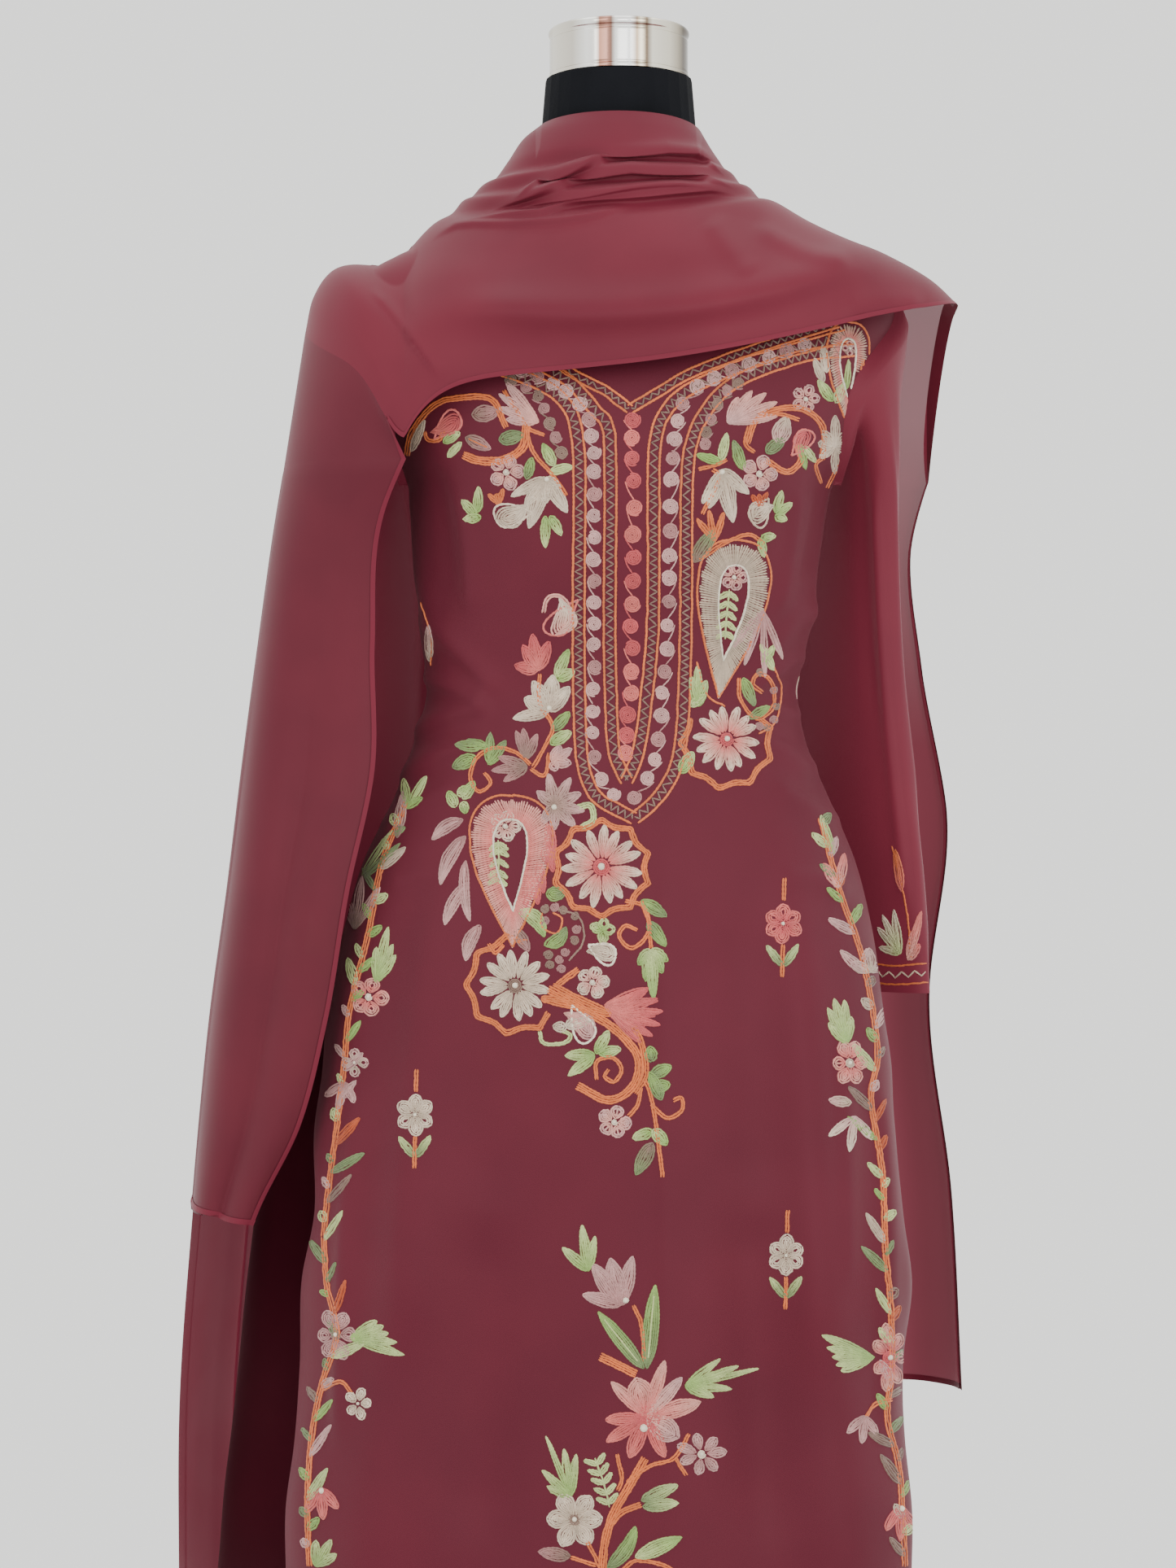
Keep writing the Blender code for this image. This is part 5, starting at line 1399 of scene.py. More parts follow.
    def sprig(self, line, leaves, reach, width, colour):
        """A stem with a leaf on each side at every step."""
        line = spline(line, 4)
        self.row(line, colour)
        ways = unit(np.gradient(line, axis=0))
        for share in np.linspace(0.08, 0.92, leaves):
            k = int(share * (len(line) - 1))
            for side in (-1, 1):
                out = np.array([-ways[k][1], ways[k][0]]) * side * 0.8 + ways[k] * 0.6
                self.petal(line[k], line[k] + out * reach, width, colour)

    def buti(self, place, colour, last, squash=0.9):
        """The small lone flower strewn over the skirt: a stem, six petals and two leaves."""
        x, y = place
        self.stem([(x + 2, y - 56), (x + 1, y - 28)], rows=2)
        self.flower((x, y), 26, 6, 19, colour, last, heart=None, squash=squash, turn=math.pi / 6, start=0.1)
        self.stem([(x, y + 26), (x - 1, y + 66)], rows=2)
        self.petal((x - 1, y + 52), (x - 20, y + 27), 11, SAGE, PALE_GREEN)
        self.petal((x + 1, y + 52), (x + 19, y + 26), 11, SAGE, PALE_GREEN)


print("motifs ready")

# %% [markdown]
# The neck of the kameez has a bib: columns of coiled dots between bands that all bend out to the
# shoulders at the top and come to points at the bottom. Sprays of flowers and two ruffled
# paisleys grow beside it. Each piece of the embroidery is one object.

# %% Bib
def stitch_bib():
    work = Motifs("bib_stitches", front_grid, 1)
    centre = [(777, 516), (777, 538), (777, 563), (778, 591), (780, 624), (777, 657), (778, 685),
        (777, 714), (777, 742), (775, 770), (777, 797), (776, 825), (775, 852), (771, 879), (770, 904),
        (769, 925)]
    work.dots(centre, 11.5, [ROSE, CORAL, ROSE, ROSE, CORAL, CORAL, ROSE], tail=1)
    left = [(640, 455), (660, 463), (679, 471), (696, 481), (712, 496), (724, 515), (726, 535), (730, 556),
        (730, 579), (730, 607), (730, 633), (730, 661), (729, 687), (731, 714), (730, 741), (730, 767),
        (730, 792), (731, 820), (729, 847), (728, 874), (728, 901), (731, 930), (739, 958), (754, 976)]
    work.dots(left, 10.5, [LILAC, MAUVE, LILAC, LILAC], tail=1)
    right = [(989, 424), (967, 431), (944, 439), (921, 448), (899, 456), (877, 465), (857, 475), (839, 496),
        (833, 517), (829, 540), (826, 563), (825, 589), (824, 623), (824, 652), (823, 683), (822, 711),
        (822, 740), (820, 768), (820, 797), (817, 825), (813, 852), (813, 880), (809, 908), (805, 933),
        (796, 956), (779, 980)]
    work.dots(right, 10.5, [LILAC, MAUVE, LILAC], tail=-1)
    taupe = [(628, 466), (647, 476), (661, 487), (669, 502), (676, 520), (683, 537), (690, 557)]
    work.dots(taupe, 9.0, [TAUPE, MAUVE * 0.85], tail=1)
    work.dots([(908, 471), (893, 481), (881, 497), (874, 515), (868, 531), (866, 546)], 9.0,
        [TAUPE, MAUVE * 0.85], tail=-1)
    inner_left = [(600, 415), (672, 452), (704, 473), (734, 508), (748, 530), (750, 620), (749, 768),
        (751, 870), (755, 925), (770, 960)]
    inner_right = [(1040, 412), (929, 443), (874, 465), (835, 487), (812, 517), (804, 556), (803, 620),
        (802, 768), (793, 868), (784, 925), (770, 960)]
    outer_left = [(520, 430), (610, 452), (669, 475), (698, 500), (709, 535), (712, 595), (711, 748),
        (712, 868), (716, 937), (731, 977), (753, 992), (779, 1006)]
    outer_right = [(1050, 430), (990, 437), (929, 457), (890, 479), (866, 508), (851, 540), (844, 595),
        (843, 748), (840, 868), (833, 932), (818, 967), (798, 991), (779, 1006)]
    for line in (inner_left, inner_right, outer_left, outer_right):
        work.band(line, width=14.5)
    work.band([(640, 415), (709, 462), (742, 479), (774, 503)], width=11)
    work.band([(1030, 396), (929, 428), (852, 457), (812, 480), (774, 503)], width=11)
    return work.finish()


stitched = [stitch_bib()]

# %% Sprays beside the bib
def stitch_yoke():
    work = Motifs("yoke_stitches", front_grid, 2)
    # left of the picture
    work.fan((662, 519), 152, 46, [64, 60, 52, 40], 13, PINK, LILAC)
    work.stem([(500, 560), (507, 530), (535, 497), (572, 488), (605, 492), (622, 526)], rows=3)
    work.stem([(619, 480), (639, 510), (649, 526), (669, 535)], rows=2)
    work.stem([(647, 522), (642, 550), (619, 565), (589, 566), (569, 559)], rows=4)
    work.stem([(647, 526), (655, 555), (679, 584), (696, 609)], rows=2)
    work.comma((565, 511), (529, 531), 28, 10, ROSE, CORAL, CORAL)
    work.stem([(522, 530), (526, 541), (540, 540), (546, 528)], rows=2)
    work.petal((580, 510), (613, 506), 22, TAUPE, MAUVE)
    work.petal((505, 555), (522, 516), 12, BUFF)
    work.petal((572, 537), (603, 552), 17, TAUPE, MAUVE, vein=ORANGE)
    work.petal((613, 541), (644, 534), 19, SAGE)
    work.petal((545, 544), (565, 531), 13, GREEN, PALE_GREEN)
    work.petal((550, 562), (567, 543), 11, PALE_GREEN)
    work.petal((681, 573), (667, 545), 15, PALE_GREEN, GREEN)
    work.petal((675, 580), (704, 573), 13, PALE_GREEN)
    work.petal((647, 589), (654, 562), 14, SAGE, GREEN)
    work.flower((622, 580), 22, 5, 18, PINK, LILAC, heart=CREAM)
    for tip, wide in (((628, 610), 15), ((645, 622), 17), ((650, 649), 21), ((670, 619), 18),
        ((697, 630), 19), ((689, 600), 14)):
        work.petal((671, 587), tip, wide, BUFF, CREAM)
    work.knot((672, 589), 3.4)
    work.comma((609, 638), (650, 619), 32, -12, BUFF, CREAM, CREAM)
    for base, tip in (((585, 634), (567, 614)), ((587, 630), (588, 598)), ((591, 636), (569, 638)),
        ((670, 634), (670, 673)), ((676, 634), (690, 658))):
        work.petal(base, tip, 13, GREEN, PALE_GREEN)
    work.fan((613, 620), 105, 60, [20, 14, 18], 8, ORANGE)
    # right of the picture
    work.fan((894, 520), 38, 60, [62, 66, 60, 50, 34], 13, LILAC, PINK)
    work.flower((990, 490), 17, 5, 14, PINK, LILAC)
    work.stem([(1010, 565), (1011, 525), (987, 503), (955, 503), (930, 515), (918, 545)], rows=3)
    work.stem([(927, 513), (957, 509), (982, 516)], rows=2)
    work.stem([(858, 577), (878, 572), (893, 565)], rows=2)
    work.stem([(920, 524), (916, 545), (927, 556)], rows=2)
    work.stem([(940, 565), (967, 580), (984, 565), (977, 545)], rows=3)
    work.stem([(863, 632), (883, 589), (875, 577)], rows=2)
    work.comma((993, 529), (982, 563), 24, -10, ROSE, CORAL, CORAL)
    work.petal((955, 545), (967, 512), 24, LILAC, BUFF)
    work.petal((941, 556), (964, 539), 17, SAGE)
    work.petal((886, 566), (893, 532), 13, PALE_GREEN)
    work.petal((887, 568), (856, 559), 13, GREEN)
    work.petal((913, 577), (901, 541), 15, GREEN, SAGE)
    work.petal((982, 545), (990, 577), 11, GREEN)
    work.petal((987, 548), (1002, 568), 11, PALE_GREEN)
    work.flower((933, 582), 22, 5, 18, PINK, LILAC, heart=CREAM)
    for tip, wide in (((871, 625), 19), ((901, 642), 22), ((920, 607), 17), ((863, 619), 13)):
        work.petal((887, 577), tip, wide, BUFF, CREAM)
    work.knot((887, 580), 3.4)
    work.comma((924, 641), (951, 622), 30, 12, BUFF, CREAM, BUFF)
    for base, tip in (((952, 630), (961, 603)), ((954, 632), (973, 618)), ((952, 634), (967, 639)),
        ((935, 662), (953, 658)), ((934, 661), (939, 685))):
        work.petal(base, tip, 12, GREEN, PALE_GREEN)
    work.fan((934, 623), 95, 60, [20, 16, 18], 8, RUST)
    work.fan((878, 666), 100, 55, [38, 40, 36], 9, ORANGE)
    work.petal((852, 691), (878, 651), 21, TAUPE, SAGE)
    work.fan((1026, 550), 90, 150, [22, 26, 40, 26, 22], 13, CREAM, BUFF)
    work.fan((1026, 549), 270, 110, [24, 34, 24], 12, BUFF, CREAM)
    work.ruffle((1044, 400), (1034, 524), 48, 8, [CORAL, BUFF])
    work.petal((1040, 478), (1043, 442), 9, GREEN, PALE_GREEN)
    work.flower((1044, 428), 9, 4, 9, LILAC, PINK, heart=None)
    work.petal((1012, 470), (1000, 440), 12, BUFF, CREAM)
    work.petal((1016, 458), (1010, 424), 12, CREAM, BUFF)
    work.petal((1023, 493), (1005, 467), 14, GREEN, PALE_GREEN)
    work.petal((1027, 495), (1037, 470), 14, PALE_GREEN)
    work.stem([(1016, 600), (1026, 579), (1044, 548), (1056, 505), (1060, 440)], rows=2)
    work.stem([(1009, 594), (1002, 572), (1010, 564)], rows=2)
    return work.finish()


def stitch_right_spray():
    work = Motifs("right_spray_stitches", front_grid, 3)
    work.ruffle((906, 670), (893, 858), 88, -10, [BUFF * 0.80, BUFF])
    work.flower((902, 709), 17, 5, 15, PINK, LILAC)
    work.sprig([(896, 724), (893, 756), (891, 785)], 5, 15, 7.5, PALE_GREEN)
    work.stem([(858, 689), (888, 669), (920, 657), (940, 669)], rows=2)
    work.stem([(856, 813), (868, 853), (891, 868)], rows=1)
    work.fan((937, 749), 262, 60, [60, 72, 84, 66], 10, MAUVE, LILAC)
    work.petal((937, 818), (951, 793), 12, GREEN, PALE_GREEN)
    work.petal((951, 824), (934, 791), 12, PALE_GREEN)
    for tip in ((849, 831), (857, 818), (868, 836)):
        work.petal((858, 868), tip, 13, GREEN, PALE_GREEN)
    work.petal((848, 868), (868, 853), 12, PALE_GREEN)
    work.stem([(908, 833), (910, 860), (930, 883), (950, 868), (948, 838), (932, 828), (925, 841),
        (937, 851)], rows=2)
    work.petal((913, 833), (927, 868), 15, GREEN, SAGE)
    work.petal((920, 883), (946, 868), 13, SAGE, GREEN)
    work.stem([(950, 818), (960, 848), (952, 888), (932, 902)], rows=1)
    work.dots([(934, 826), (950, 848), (953, 868), (951, 885), (942, 895), (933, 893)], 6.5,
        [TAUPE, MAUVE * 0.8])
    work.scallops((893, 913), 56, 9, -35, 215)
    work.flower((893, 908), 41, 14, 12, CORAL, CREAM, heart=ROSE, turn=0.1)
    work.petal((836, 950), (852, 924), 18, GREEN, PALE_GREEN)
    return work.finish()


stitched += [stitch_yoke(), stitch_right_spray()]

# %% Left spray
def stitch_left_spray():
    work = Motifs("left_spray_stitches", front_grid, 4)
    work.comma((681, 781), (687, 734), 34, -24, PINK, CREAM, CORAL)
    work.stem([(701, 768), (700, 749), (689, 733), (673, 735), (668, 753)], PINK, rows=2)
    for tip in ((654, 779), (642, 793), (632, 818), (675, 788)):
        work.petal((661, 824), tip, 17, CORAL, ROSE)
    work.stem([(663, 828), (663, 863), (679, 893), (669, 918), (655, 943)], rows=2)
    work.petal((683, 832), (699, 798), 15, PALE_GREEN, GREEN)
    work.petal((684, 835), (706, 824), 16, GREEN, PALE_GREEN)
    for tip, wide in (((644, 858), 22), ((655, 837), 22), ((679, 829), 24), ((700, 844), 20),
        ((630, 883), 16)):
        work.petal((675, 874), tip, wide, BUFF, CREAM)
    work.knot((675, 870), 3.4)
    work.petal((679, 898), (700, 875), 15, SAGE, GREEN)
    work.petal((676, 914), (702, 899), 16, GREEN, PALE_GREEN)
    for tip, wide in (((689, 916), 15), ((703, 920), 14), ((702, 938), 15), ((684, 947), 14)):
        work.petal((678, 936), tip, wide, PINK, LILAC)
    for tip, wide in (((634, 898), 12), ((643, 895), 13), ((660, 902), 13)):
        work.petal((647, 933), tip, wide, TAUPE, MAUVE)
    for tip, wide in (((612, 930), 13), ((604, 947), 14), ((619, 960), 13)):
        work.petal((648, 942), tip, wide, TAUPE, MAUVE)
    work.stem([(652, 940), (634, 925), (609, 919), (587, 930), (578, 955), (589, 973), (603, 962),
        (595, 950)], rows=2)
    work.stem([(652, 945), (669, 953), (675, 925)], rows=2)
    for base, tip, wide in (((592, 918), (559, 915), 15), ((585, 930), (556, 943), 19),
        ((600, 918), (572, 910), 12), ((600, 940), (622, 910), 14), ((600, 938), (603, 900), 13)):
        work.petal(base, tip, wide, GREEN, SAGE)
    for base, tip, wide in (((560, 992), (551, 972), 15), ((569, 982), (583, 960), 15),
        ((569, 985), (572, 1000), 13), ((562, 977), (576, 967), 13)):
        work.petal(base, tip, wide, PALE_GREEN, GREEN)
    for turn, reach in ((-100, 40), (-60, 40), (-25, 36), (10, 38), (45, 36), (90, 30), (-140, 28),
        (125, 26)):
        tip = (681 + reach * math.cos(math.radians(turn)), 990 + reach * math.sin(math.radians(turn)))
        work.petal((681, 990), tip, 15, TAUPE * 1.3, LILAC)
    work.knot((681, 992), 3.6)
    work.stem([(709, 993), (725, 990), (729, 1007), (714, 1017)], PALE_GREEN, rows=3)
    work.ruffle((630, 984), (618, 1163), 102, 12, [CORAL, PINK])
    work.flower((621, 1015), 19, 5, 17, PINK, CREAM)
    work.sprig([(612, 1032), (613, 1057), (611, 1088)], 5, 15, 7.5, PALE_GREEN)
    work.stem([(600, 1159), (609, 1171), (619, 1161)], rows=2)
    for base, tip, wide, bend in (
        ((569, 1007), (531, 1032), 17, 4), ((572, 1027), (541, 1087), 18, 5),
            ((576, 1084), (546, 1137), 17, 4), ((590, 1137), (572, 1181), 18, 4),
            ((572, 1057), (577, 1132), 14, 4),
    ):
        work.petal(base, tip, wide, MAUVE, LILAC, bend=bend, vein=LILAC)
    for base, tip in (((673, 1012), (681, 1052)), ((671, 1027), (680, 1072)), ((667, 1042), (678, 1067)),
        ((661, 1057), (668, 1098)), ((652, 1074), (645, 1117)), ((655, 1072), (661, 1112))):
        work.petal(base, tip, 14, CORAL, ROSE)
    work.scallops((739, 1067), 59, 10, -180, 180)
    work.flower((739, 1065), 49, 15, 13, CORAL, CREAM, heart=ROSE, turn=0.1)
    work.petal((671, 1099), (695, 1098), 19, GREEN, SAGE)
    work.petal((788, 1107), (819, 1126), 17, GREEN, SAGE)
    work.petal((796, 1132), (818, 1163), 17, SAGE, GREEN)
    work.stem([(768, 1107), (793, 1117), (800, 1166)], rows=2)
    work.stem([(788, 1107), (798, 1142), (778, 1165), (761, 1152), (768, 1138), (783, 1143)], rows=2)
    for tip in ((725, 1137), (743, 1128), (756, 1142), (741, 1160)):
        work.petal((741, 1143), tip, 15, GREEN, PALE_GREEN)
    for tip in ((784, 1186), (793, 1206), (803, 1228), (814, 1196), (820, 1181)):
        work.petal((800, 1167), tip, 16, PALE_GREEN, GREEN)
    return work.finish()


def stitch_scroll():
    work = Motifs("scroll_stitches", front_grid, 5)
    work.petal((637, 1119), (669, 1152), 20, PALE_GREEN, GREEN, bend=-8)
    work.petal((669, 1162), (696, 1139), 18, GREEN, SAGE, bend=6)
    work.petal((634, 1142), (650, 1169), 16, TAUPE, MAUVE)
    work.stem([(666, 1122), (666, 1139), (684, 1147), (691, 1129), (679, 1122)], rows=1)
    work.stem([(684, 1117), (711, 1127), (717, 1156), (699, 1181)], TAUPE * 1.2, rows=1)
    work.dots([(669, 1117), (681, 1115), (692, 1119), (670, 1132), (706, 1126), (708, 1142), (706, 1156),
        (694, 1170), (674, 1174), (687, 1179), (676, 1186), (690, 1191)], 7.0, [TAUPE, MAUVE * 0.8])
    work.scallops((633, 1210), 60, 9, 40, 285)
    work.flower((633, 1211), 43, 14, 13, BUFF, CREAM, heart=TAUPE, turn=0.15)
    work.comma((756, 1176), (721, 1169), 27, -8, CREAM, BUFF, WHITE)
    work.flower((728, 1207), 20, 5, 17, PINK, CREAM)
    for tip in ((679, 1261), (709, 1253), (729, 1251)):
        work.petal((696, 1263), tip, 14, CREAM, BUFF)
    work.stem([(684, 1211), (711, 1191)], rows=3)
    work.stem([(679, 1211), (709, 1226), (748, 1246), (668, 1228), (708, 1230)], rows=3)
    work.fan((751, 1246), -5, 78, [52, 58, 62, 64, 60, 54], 12, CORAL, ROSE)
    work.fan((743, 1235), -12, 66, [40, 56, 64, 66, 58], 12, CORAL, ROSE)
    work.stem([(673, 1215), (716, 1240), (758, 1267), (784, 1300), (778, 1334), (748, 1352), (709, 1334)],
        rows=4)
    work.stem([(778, 1260), (789, 1285), (793, 1320), (780, 1344)], rows=3)
    work.stem([(733, 1327), (733, 1305), (753, 1300), (764, 1315), (754, 1330), (743, 1322), (748, 1314)],
        rows=2)
    work.stem([(791, 1325), (799, 1344), (807, 1389), (814, 1447)], rows=2)
    work.stem([(800, 1357), (820, 1374), (838, 1364), (837, 1349), (827, 1353)], rows=2)
    work.stem([(788, 1337), (783, 1359), (772, 1372)], rows=2)
    work.comma((727, 1277), (693, 1245), 30, -14, LILAC, PINK, WHITE)
    work.stem([(663, 1267), (668, 1282), (693, 1282), (701, 1272), (688, 1266)], PALE_GREEN, rows=2)
    for base, tip in (((731, 1296), (694, 1297)), ((731, 1297), (698, 1322)), ((732, 1295), (748, 1267)),
        ((736, 1295), (763, 1289))):
        work.petal(base, tip, 15, GREEN, PALE_GREEN)
    for base, tip in (((800, 1305), (799, 1286)), ((800, 1322), (825, 1310)), ((804, 1337), (823, 1332)),
        ((813, 1352), (798, 1317))):
        work.petal(base, tip, 17, SAGE, GREEN)
    work.flower((755, 1379), 21, 5, 18, PINK, LILAC)
    work.petal((802, 1390), (777, 1399), 15, GREEN, PALE_GREEN)
    work.petal((802, 1388), (820, 1407), 17, PALE_GREEN, GREEN)
    work.petal((802, 1404), (781, 1444), 20, TAUPE, SAGE)
    return work.finish()


stitched += [stitch_left_spray(), stitch_scroll()]

# %% Hem spray and strewn flowers
def stitch_hem_spray():
    work = Motifs("hem_spray_stitches", front_grid, 6)
    for tip, wide in (((715, 1505), 14), ((731, 1519), 12), ((691, 1533), 14)):
        work.petal((723, 1562), tip, wide, GREEN, PALE_GREEN)
    for tip, wide in (((716, 1591), 18), ((728, 1553), 24), ((750, 1546), 26), ((777, 1544), 20),
        ((767, 1578), 18)):
        work.petal((763, 1604), tip, wide, MAUVE, LILAC)
    work.knot((769, 1598), 4)
    work.stem([(778, 1604), (788, 1628), (792, 1673)], rows=2)
    work.petal((791, 1682), (735, 1612), 19, SAGE, GREEN, vein=PALE_GREEN)
    work.petal((795, 1682), (805, 1579), 21, SAGE, GREEN, vein=PALE_GREEN)
    work.stem([(737, 1667), (754, 1675), (782, 1689)], ORANGE, rows=4)
    for tip, wide, near, far in (
        ((751, 1698), 16, CORAL, PINK), ((782, 1693), 34, CORAL, PINK), ((817, 1672), 17, CORAL, PINK),
            ((838, 1693), 17, PINK, LILAC),
        ((861, 1723), 22, CORAL, PINK), ((834, 1767), 32, PINK, LILAC), ((817, 1791), 18, ROSE, CORAL),
        ((773, 1792), 20, ROSE, CORAL),
        ((745, 1772), 17, ROSE, CORAL), ((744, 1745), 17, ROSE, CORAL),
    ):
        work.petal((794, 1742), tip, wide, near, far, full=1.2)
    work.coil((796, 1742), 17, ROSE)
    work.knot((791, 1755), 5)
    for tip, wide in (((885, 1670), 11), ((907, 1679), 10), ((932, 1682), 9), ((899, 1707), 12),
        ((877, 1717), 14), ((892, 1688), 13)):
        work.petal((842, 1703), tip, wide, GREEN, PALE_GREEN)
    work.flower((862, 1787), 27, 7, 14, MAUVE, LILAC, squash=1.15)
    work.stem([(758, 1787), (764, 1817), (759, 1832)], rows=2)
    work.stem([(793, 1792), (773, 1827), (753, 1862), (743, 1897), (740, 1929)], rows=4)
    work.stem([(847, 1762), (828, 1792), (798, 1802), (770, 1822)], rows=2)
    work.stem([(830, 1792), (843, 1813)], rows=2)
    work.stem([(788, 1849), (763, 1859), (748, 1877)], rows=3)
    for tip, wide in (((671, 1765), 8), ((693, 1780), 12), ((708, 1787), 12), ((666, 1807), 12),
        ((672, 1827), 12)):
        work.petal((701, 1839), tip, wide, GREEN, PALE_GREEN)
    work.sprig([(749, 1852), (743, 1827), (731, 1792)], 5, 17, 8, PALE_GREEN)
    work.flower((706, 1867), 36, 6, 24, BUFF, CREAM, heart=TAUPE, start=0.12)
    for base, tip, wide in (((788, 1844), (833, 1825), 17), ((790, 1852), (834, 1847), 17)):
        work.petal(base, tip, wide, SAGE, PALE_GREEN)
    work.petal((746, 1927), (781, 1876), 19, SAGE, GREEN, bend=6)
    work.petal((781, 1914), (838, 1889), 20, PALE_GREEN, GREEN)
    work.petal((701, 1913), (661, 1907), 18, TAUPE, MAUVE)
    work.stem([(721, 1894), (733, 1917), (740, 1931)], rows=2)
    work.stem([(701, 1914), (733, 1924)], rows=2)
    work.stem([(765, 1929), (783, 1918), (813, 1923), (828, 1931)], rows=2)
    return work.finish()


def stitch_strewn():
    work = Motifs("strewn_stitches", front_grid, 7)
    work.buti((510, 1370), BUFF, CREAM)
    work.buti((962, 1135), ROSE, CORAL)
    work.buti((966, 1543), BUFF, CREAM)
    work.stem([(517, 741), (526, 768), (531, 788), (529, 818)], rows=1)
    work.petal((528, 813), (526, 768), 12, BUFF, LILAC)
    work.petal((981, 863), (982, 831), 9, LILAC, BUFF)
    return work.finish()


stitched += [stitch_hem_spray(), stitch_strewn()]

# %% [markdown]
# A vine climbs each slit of the skirt. Its flowers are placed as they show; the small leaves and
# buds between them are drawn from a seed, because no two on the cloth are alike.

# %% Side vines
def vine(work, line, lean, sprigs):
    """A stem of uneven small leaves and buds. lean is the side that the cloth's edge is on."""
    path = spline(line, 4)
    work.stem(line, rows=3)
    ways = unit(np.gradient(path, axis=0))
    kinds = [GREEN, PALE_GREEN, SAGE, LILAC, TAUPE, SAGE, BUFF, RUST]
    for k in range(sprigs):
        at = int((k + work.draw.uniform(0.2, 0.8)) / sprigs * (len(path) - 2))
        side = 1 if (k % 2) else -1
        out = np.array([-ways[at][1], ways[at][0]]) * side
        up = -ways[at] * work.draw.uniform(0.7, 1.9)
        reach = work.draw.uniform(16, 48) * (0.75 if side == lean else 1.0)
        tip = path[at] + (out + up) / np.linalg.norm(out + up) * reach
        colour = kinds[int(work.draw.integers(len(kinds)))]
        work.petal(path[at], tip, work.draw.uniform(8, 14), colour * 0.9, colour)


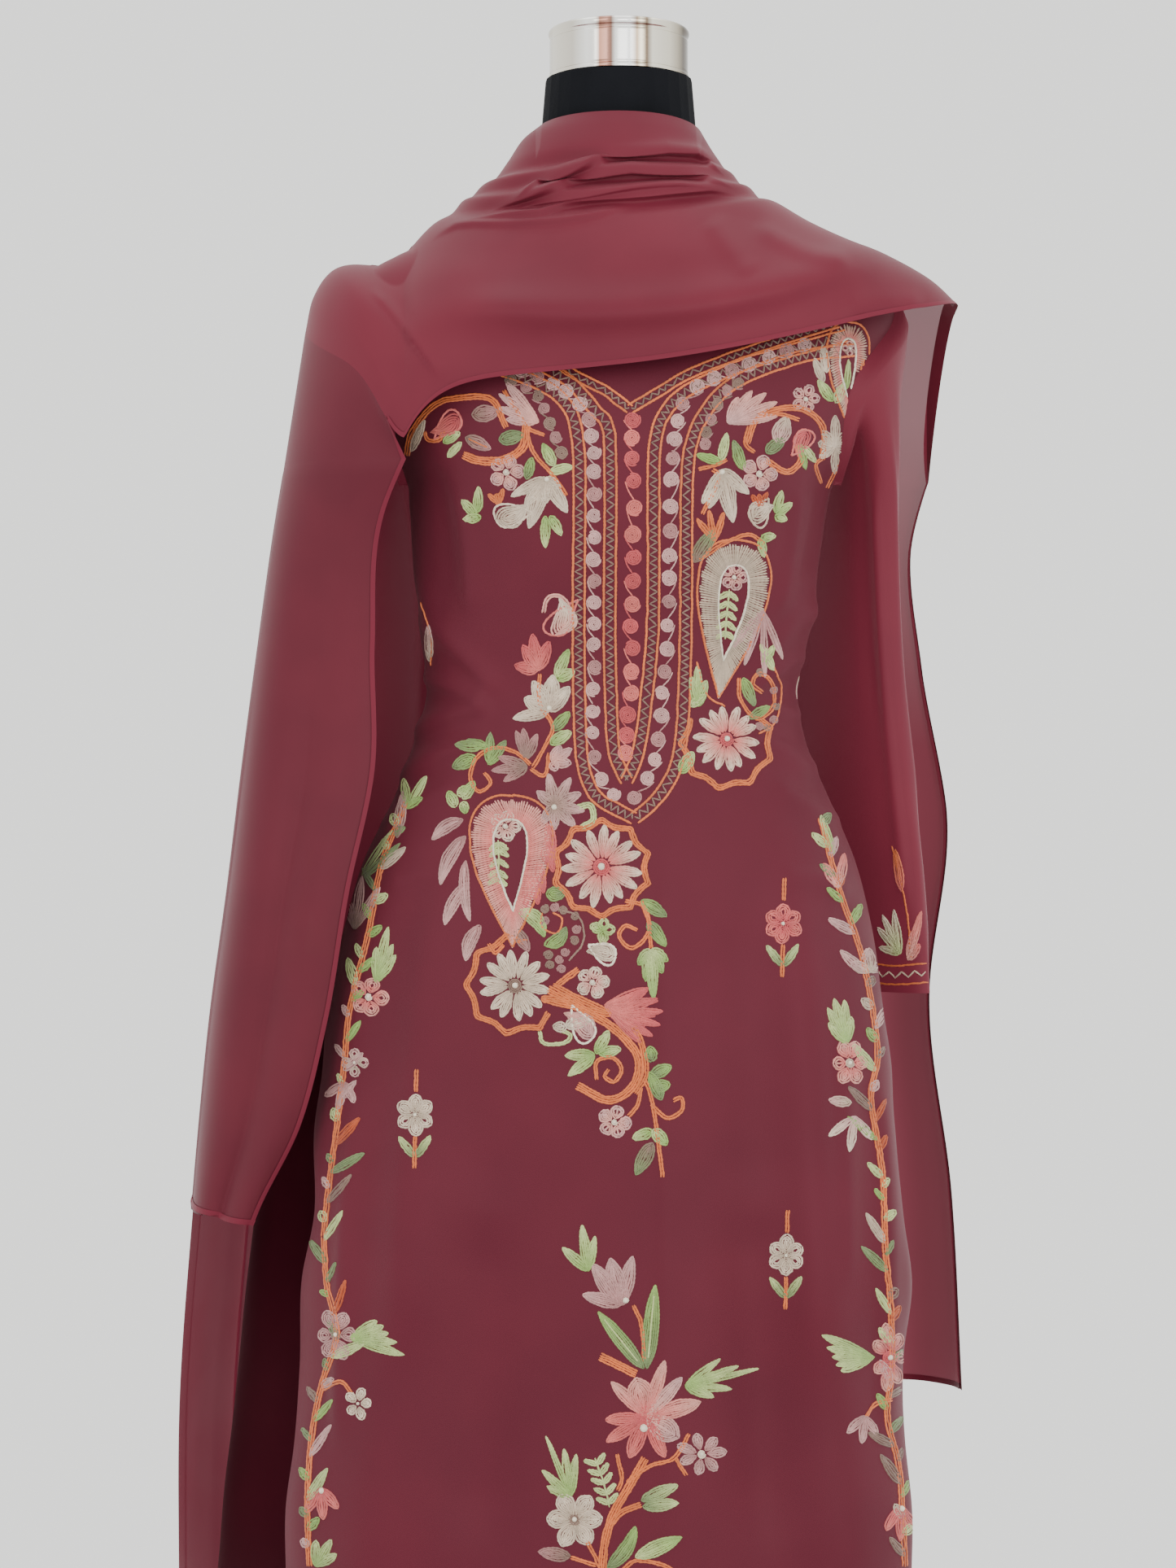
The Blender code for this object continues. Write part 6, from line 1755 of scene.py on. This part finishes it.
def stitch_vines():
    left = Motifs("left_vine_stitches", front_grid, 8)
    vine(left, [(500, 985), (470, 1060), (452, 1150), (430, 1240), (424, 1300), (416, 1370), (404, 1460),
        (398, 1520)], 1, 26)
    left.fan((502, 992), 80, 40, [44, 36], 12, GREEN, PALE_GREEN)
    left.petal((488, 1030), (496, 972), 15, TAUPE, LILAC)
    left.petal((445, 1076), (482, 1020), 10, SAGE, PALE_GREEN)
    left.petal((449, 1078), (492, 1036), 10, SAGE)
    left.fan((436, 1142), 82, 46, [60, 66, 46], 13, TAUPE, LILAC)
    left.fan((462, 1208), 72, 34, [42, 52, 70, 44], 13, GREEN, PALE_GREEN)
    left.fan((424, 1330), 255, 80, [30, 36, 28], 12, MAUVE, LILAC)
    vine(left, [(398, 1520), (402, 1580), (414, 1640), (396, 1700), (384, 1760), (378, 1840), (380, 1925)],
        1, 18)
    left.flower((453, 1225), 24, 5, 20, CORAL, PINK, heart=CREAM)
    left.flower((436, 1306), 17, 4, 14, BUFF, LILAC, heart=None)
    left.fan((430, 1645), 8, 50, [70, 58, 48, 44, 40], 13, GREEN, PALE_GREEN)
    left.flower((413, 1640), 33, 6, 19, MAUVE, LILAC, heart=TAUPE, squash=0.72)
    left.flower((440, 1725), 20, 5, 13, BUFF, CREAM, heart=None, squash=0.8)
    left.stem([(396, 1708), (418, 1698), (432, 1712)], rows=2)
    left.fan((394, 1828), 275, 70, [36, 40, 34], 14, ROSE, CORAL)
    left.knot((396, 1832), 4)
    left.fan((388, 1925), 60, 60, [30, 38, 32], 13, GREEN, PALE_GREEN)
    right = Motifs("right_vine_stitches", front_grid, 9)
    vine(right, [(1008, 1005), (1030, 1090), (1060, 1180), (1078, 1290), (1070, 1350), (1084, 1440), (1088,
        1540)], -1, 26)
    vine(right, [(1088, 1540), (1094, 1600), (1096, 1680), (1090, 1740), (1104, 1800), (1108, 1850), (1112,
        1925)], -1, 18)
    right.fan((1030, 1092), 100, 40, [44, 36], 13, PINK, CORAL)
    right.petal((1024, 1050), (1008, 1002), 12, GREEN, PALE_GREEN)
    right.fan((1070, 1195), 95, 120, [26, 30, 28], 15, BUFF, LILAC)
    right.fan((1040, 1283), 105, 50, [34, 54, 58, 50, 34], 13, GREEN, PALE_GREEN)
    right.flower((1044, 1306), 30, 6, 18, CORAL, PINK, heart=BUFF, squash=0.72)
    right.petal((1046, 1355), (1018, 1352), 14, BUFF, LILAC)
    right.fan((1050, 1372), 262, 90, [40, 44, 36], 12, LILAC, CREAM)
    right.fan((1074, 1668), 180, 46, [70, 60, 52, 48, 44], 13, GREEN, PALE_GREEN)
    right.flower((1093, 1668), 42, 7, 17, ROSE, PINK, heart=ROSE, squash=0.5)
    right.fan((1062, 1740), 265, 80, [30, 34, 28], 12, MAUVE, LILAC)
    right.stem([(1096, 1720), (1075, 1726), (1064, 1742)], rows=2)
    right.fan((1106, 1850), 270, 60, [36, 44, 34], 13, ROSE, CORAL)
    right.knot((1107, 1854), 4)
    return [left.finish(), right.finish()]


stitched += stitch_vines()

# %% [markdown]
# The same thread closes the sleeves: a spray of leaves over two rows and a zigzag at the cuff.
# It goes on both sleeves, although the picture shows only one.

# %% Cuffs
def stitch_cuff(side, seed):
    work = Motifs("cuff_" + side + "_stitches", sleeve_grids[side], seed, closed=True)

    def at(*places):
        """The right cuff's places, or for the left cuff their mirror image."""
        return [(px if side == "right" else 1483 - px, py) for px, py in places]

    work.stem(at((1062, 1183), (1098, 1187), (1138, 1184)), rows=1)
    work.stem(at((1064, 1206), (1100, 1210), (1140, 1207)), rows=1)
    work.zigzag(at((1062, 1194), (1100, 1198), (1140, 1195)), BUFF, reach=3.6, period=15)
    work.stem(at((1096, 1040), (1104, 1070), (1114, 1120), (1120, 1180)), rows=1)
    work.petal(*at((1108, 1096), (1100, 1044)), 12, CORAL, ORANGE)
    for tip in ((1078, 1140), (1084, 1124), (1098, 1118), (1080, 1164)):
        work.petal(*at((1106, 1172), tip), 11, PALE_GREEN, CREAM)
    for tip in ((1124, 1140), (1130, 1160), (1132, 1120)):
        work.petal(*at((1116, 1180), tip), 12, PINK, CORAL)
    return work.finish()


cuff_stitches = {side: stitch_cuff(side, seed) for side, seed in (("left", 10), ("right", 11))}
print("embroidery pieces:", len(stitched) + len(cuff_stitches))


# %% [markdown]
# ## Finishing
#
# The view layer is brought up to date.

# %% Finish
bpy.context.view_layer.update()
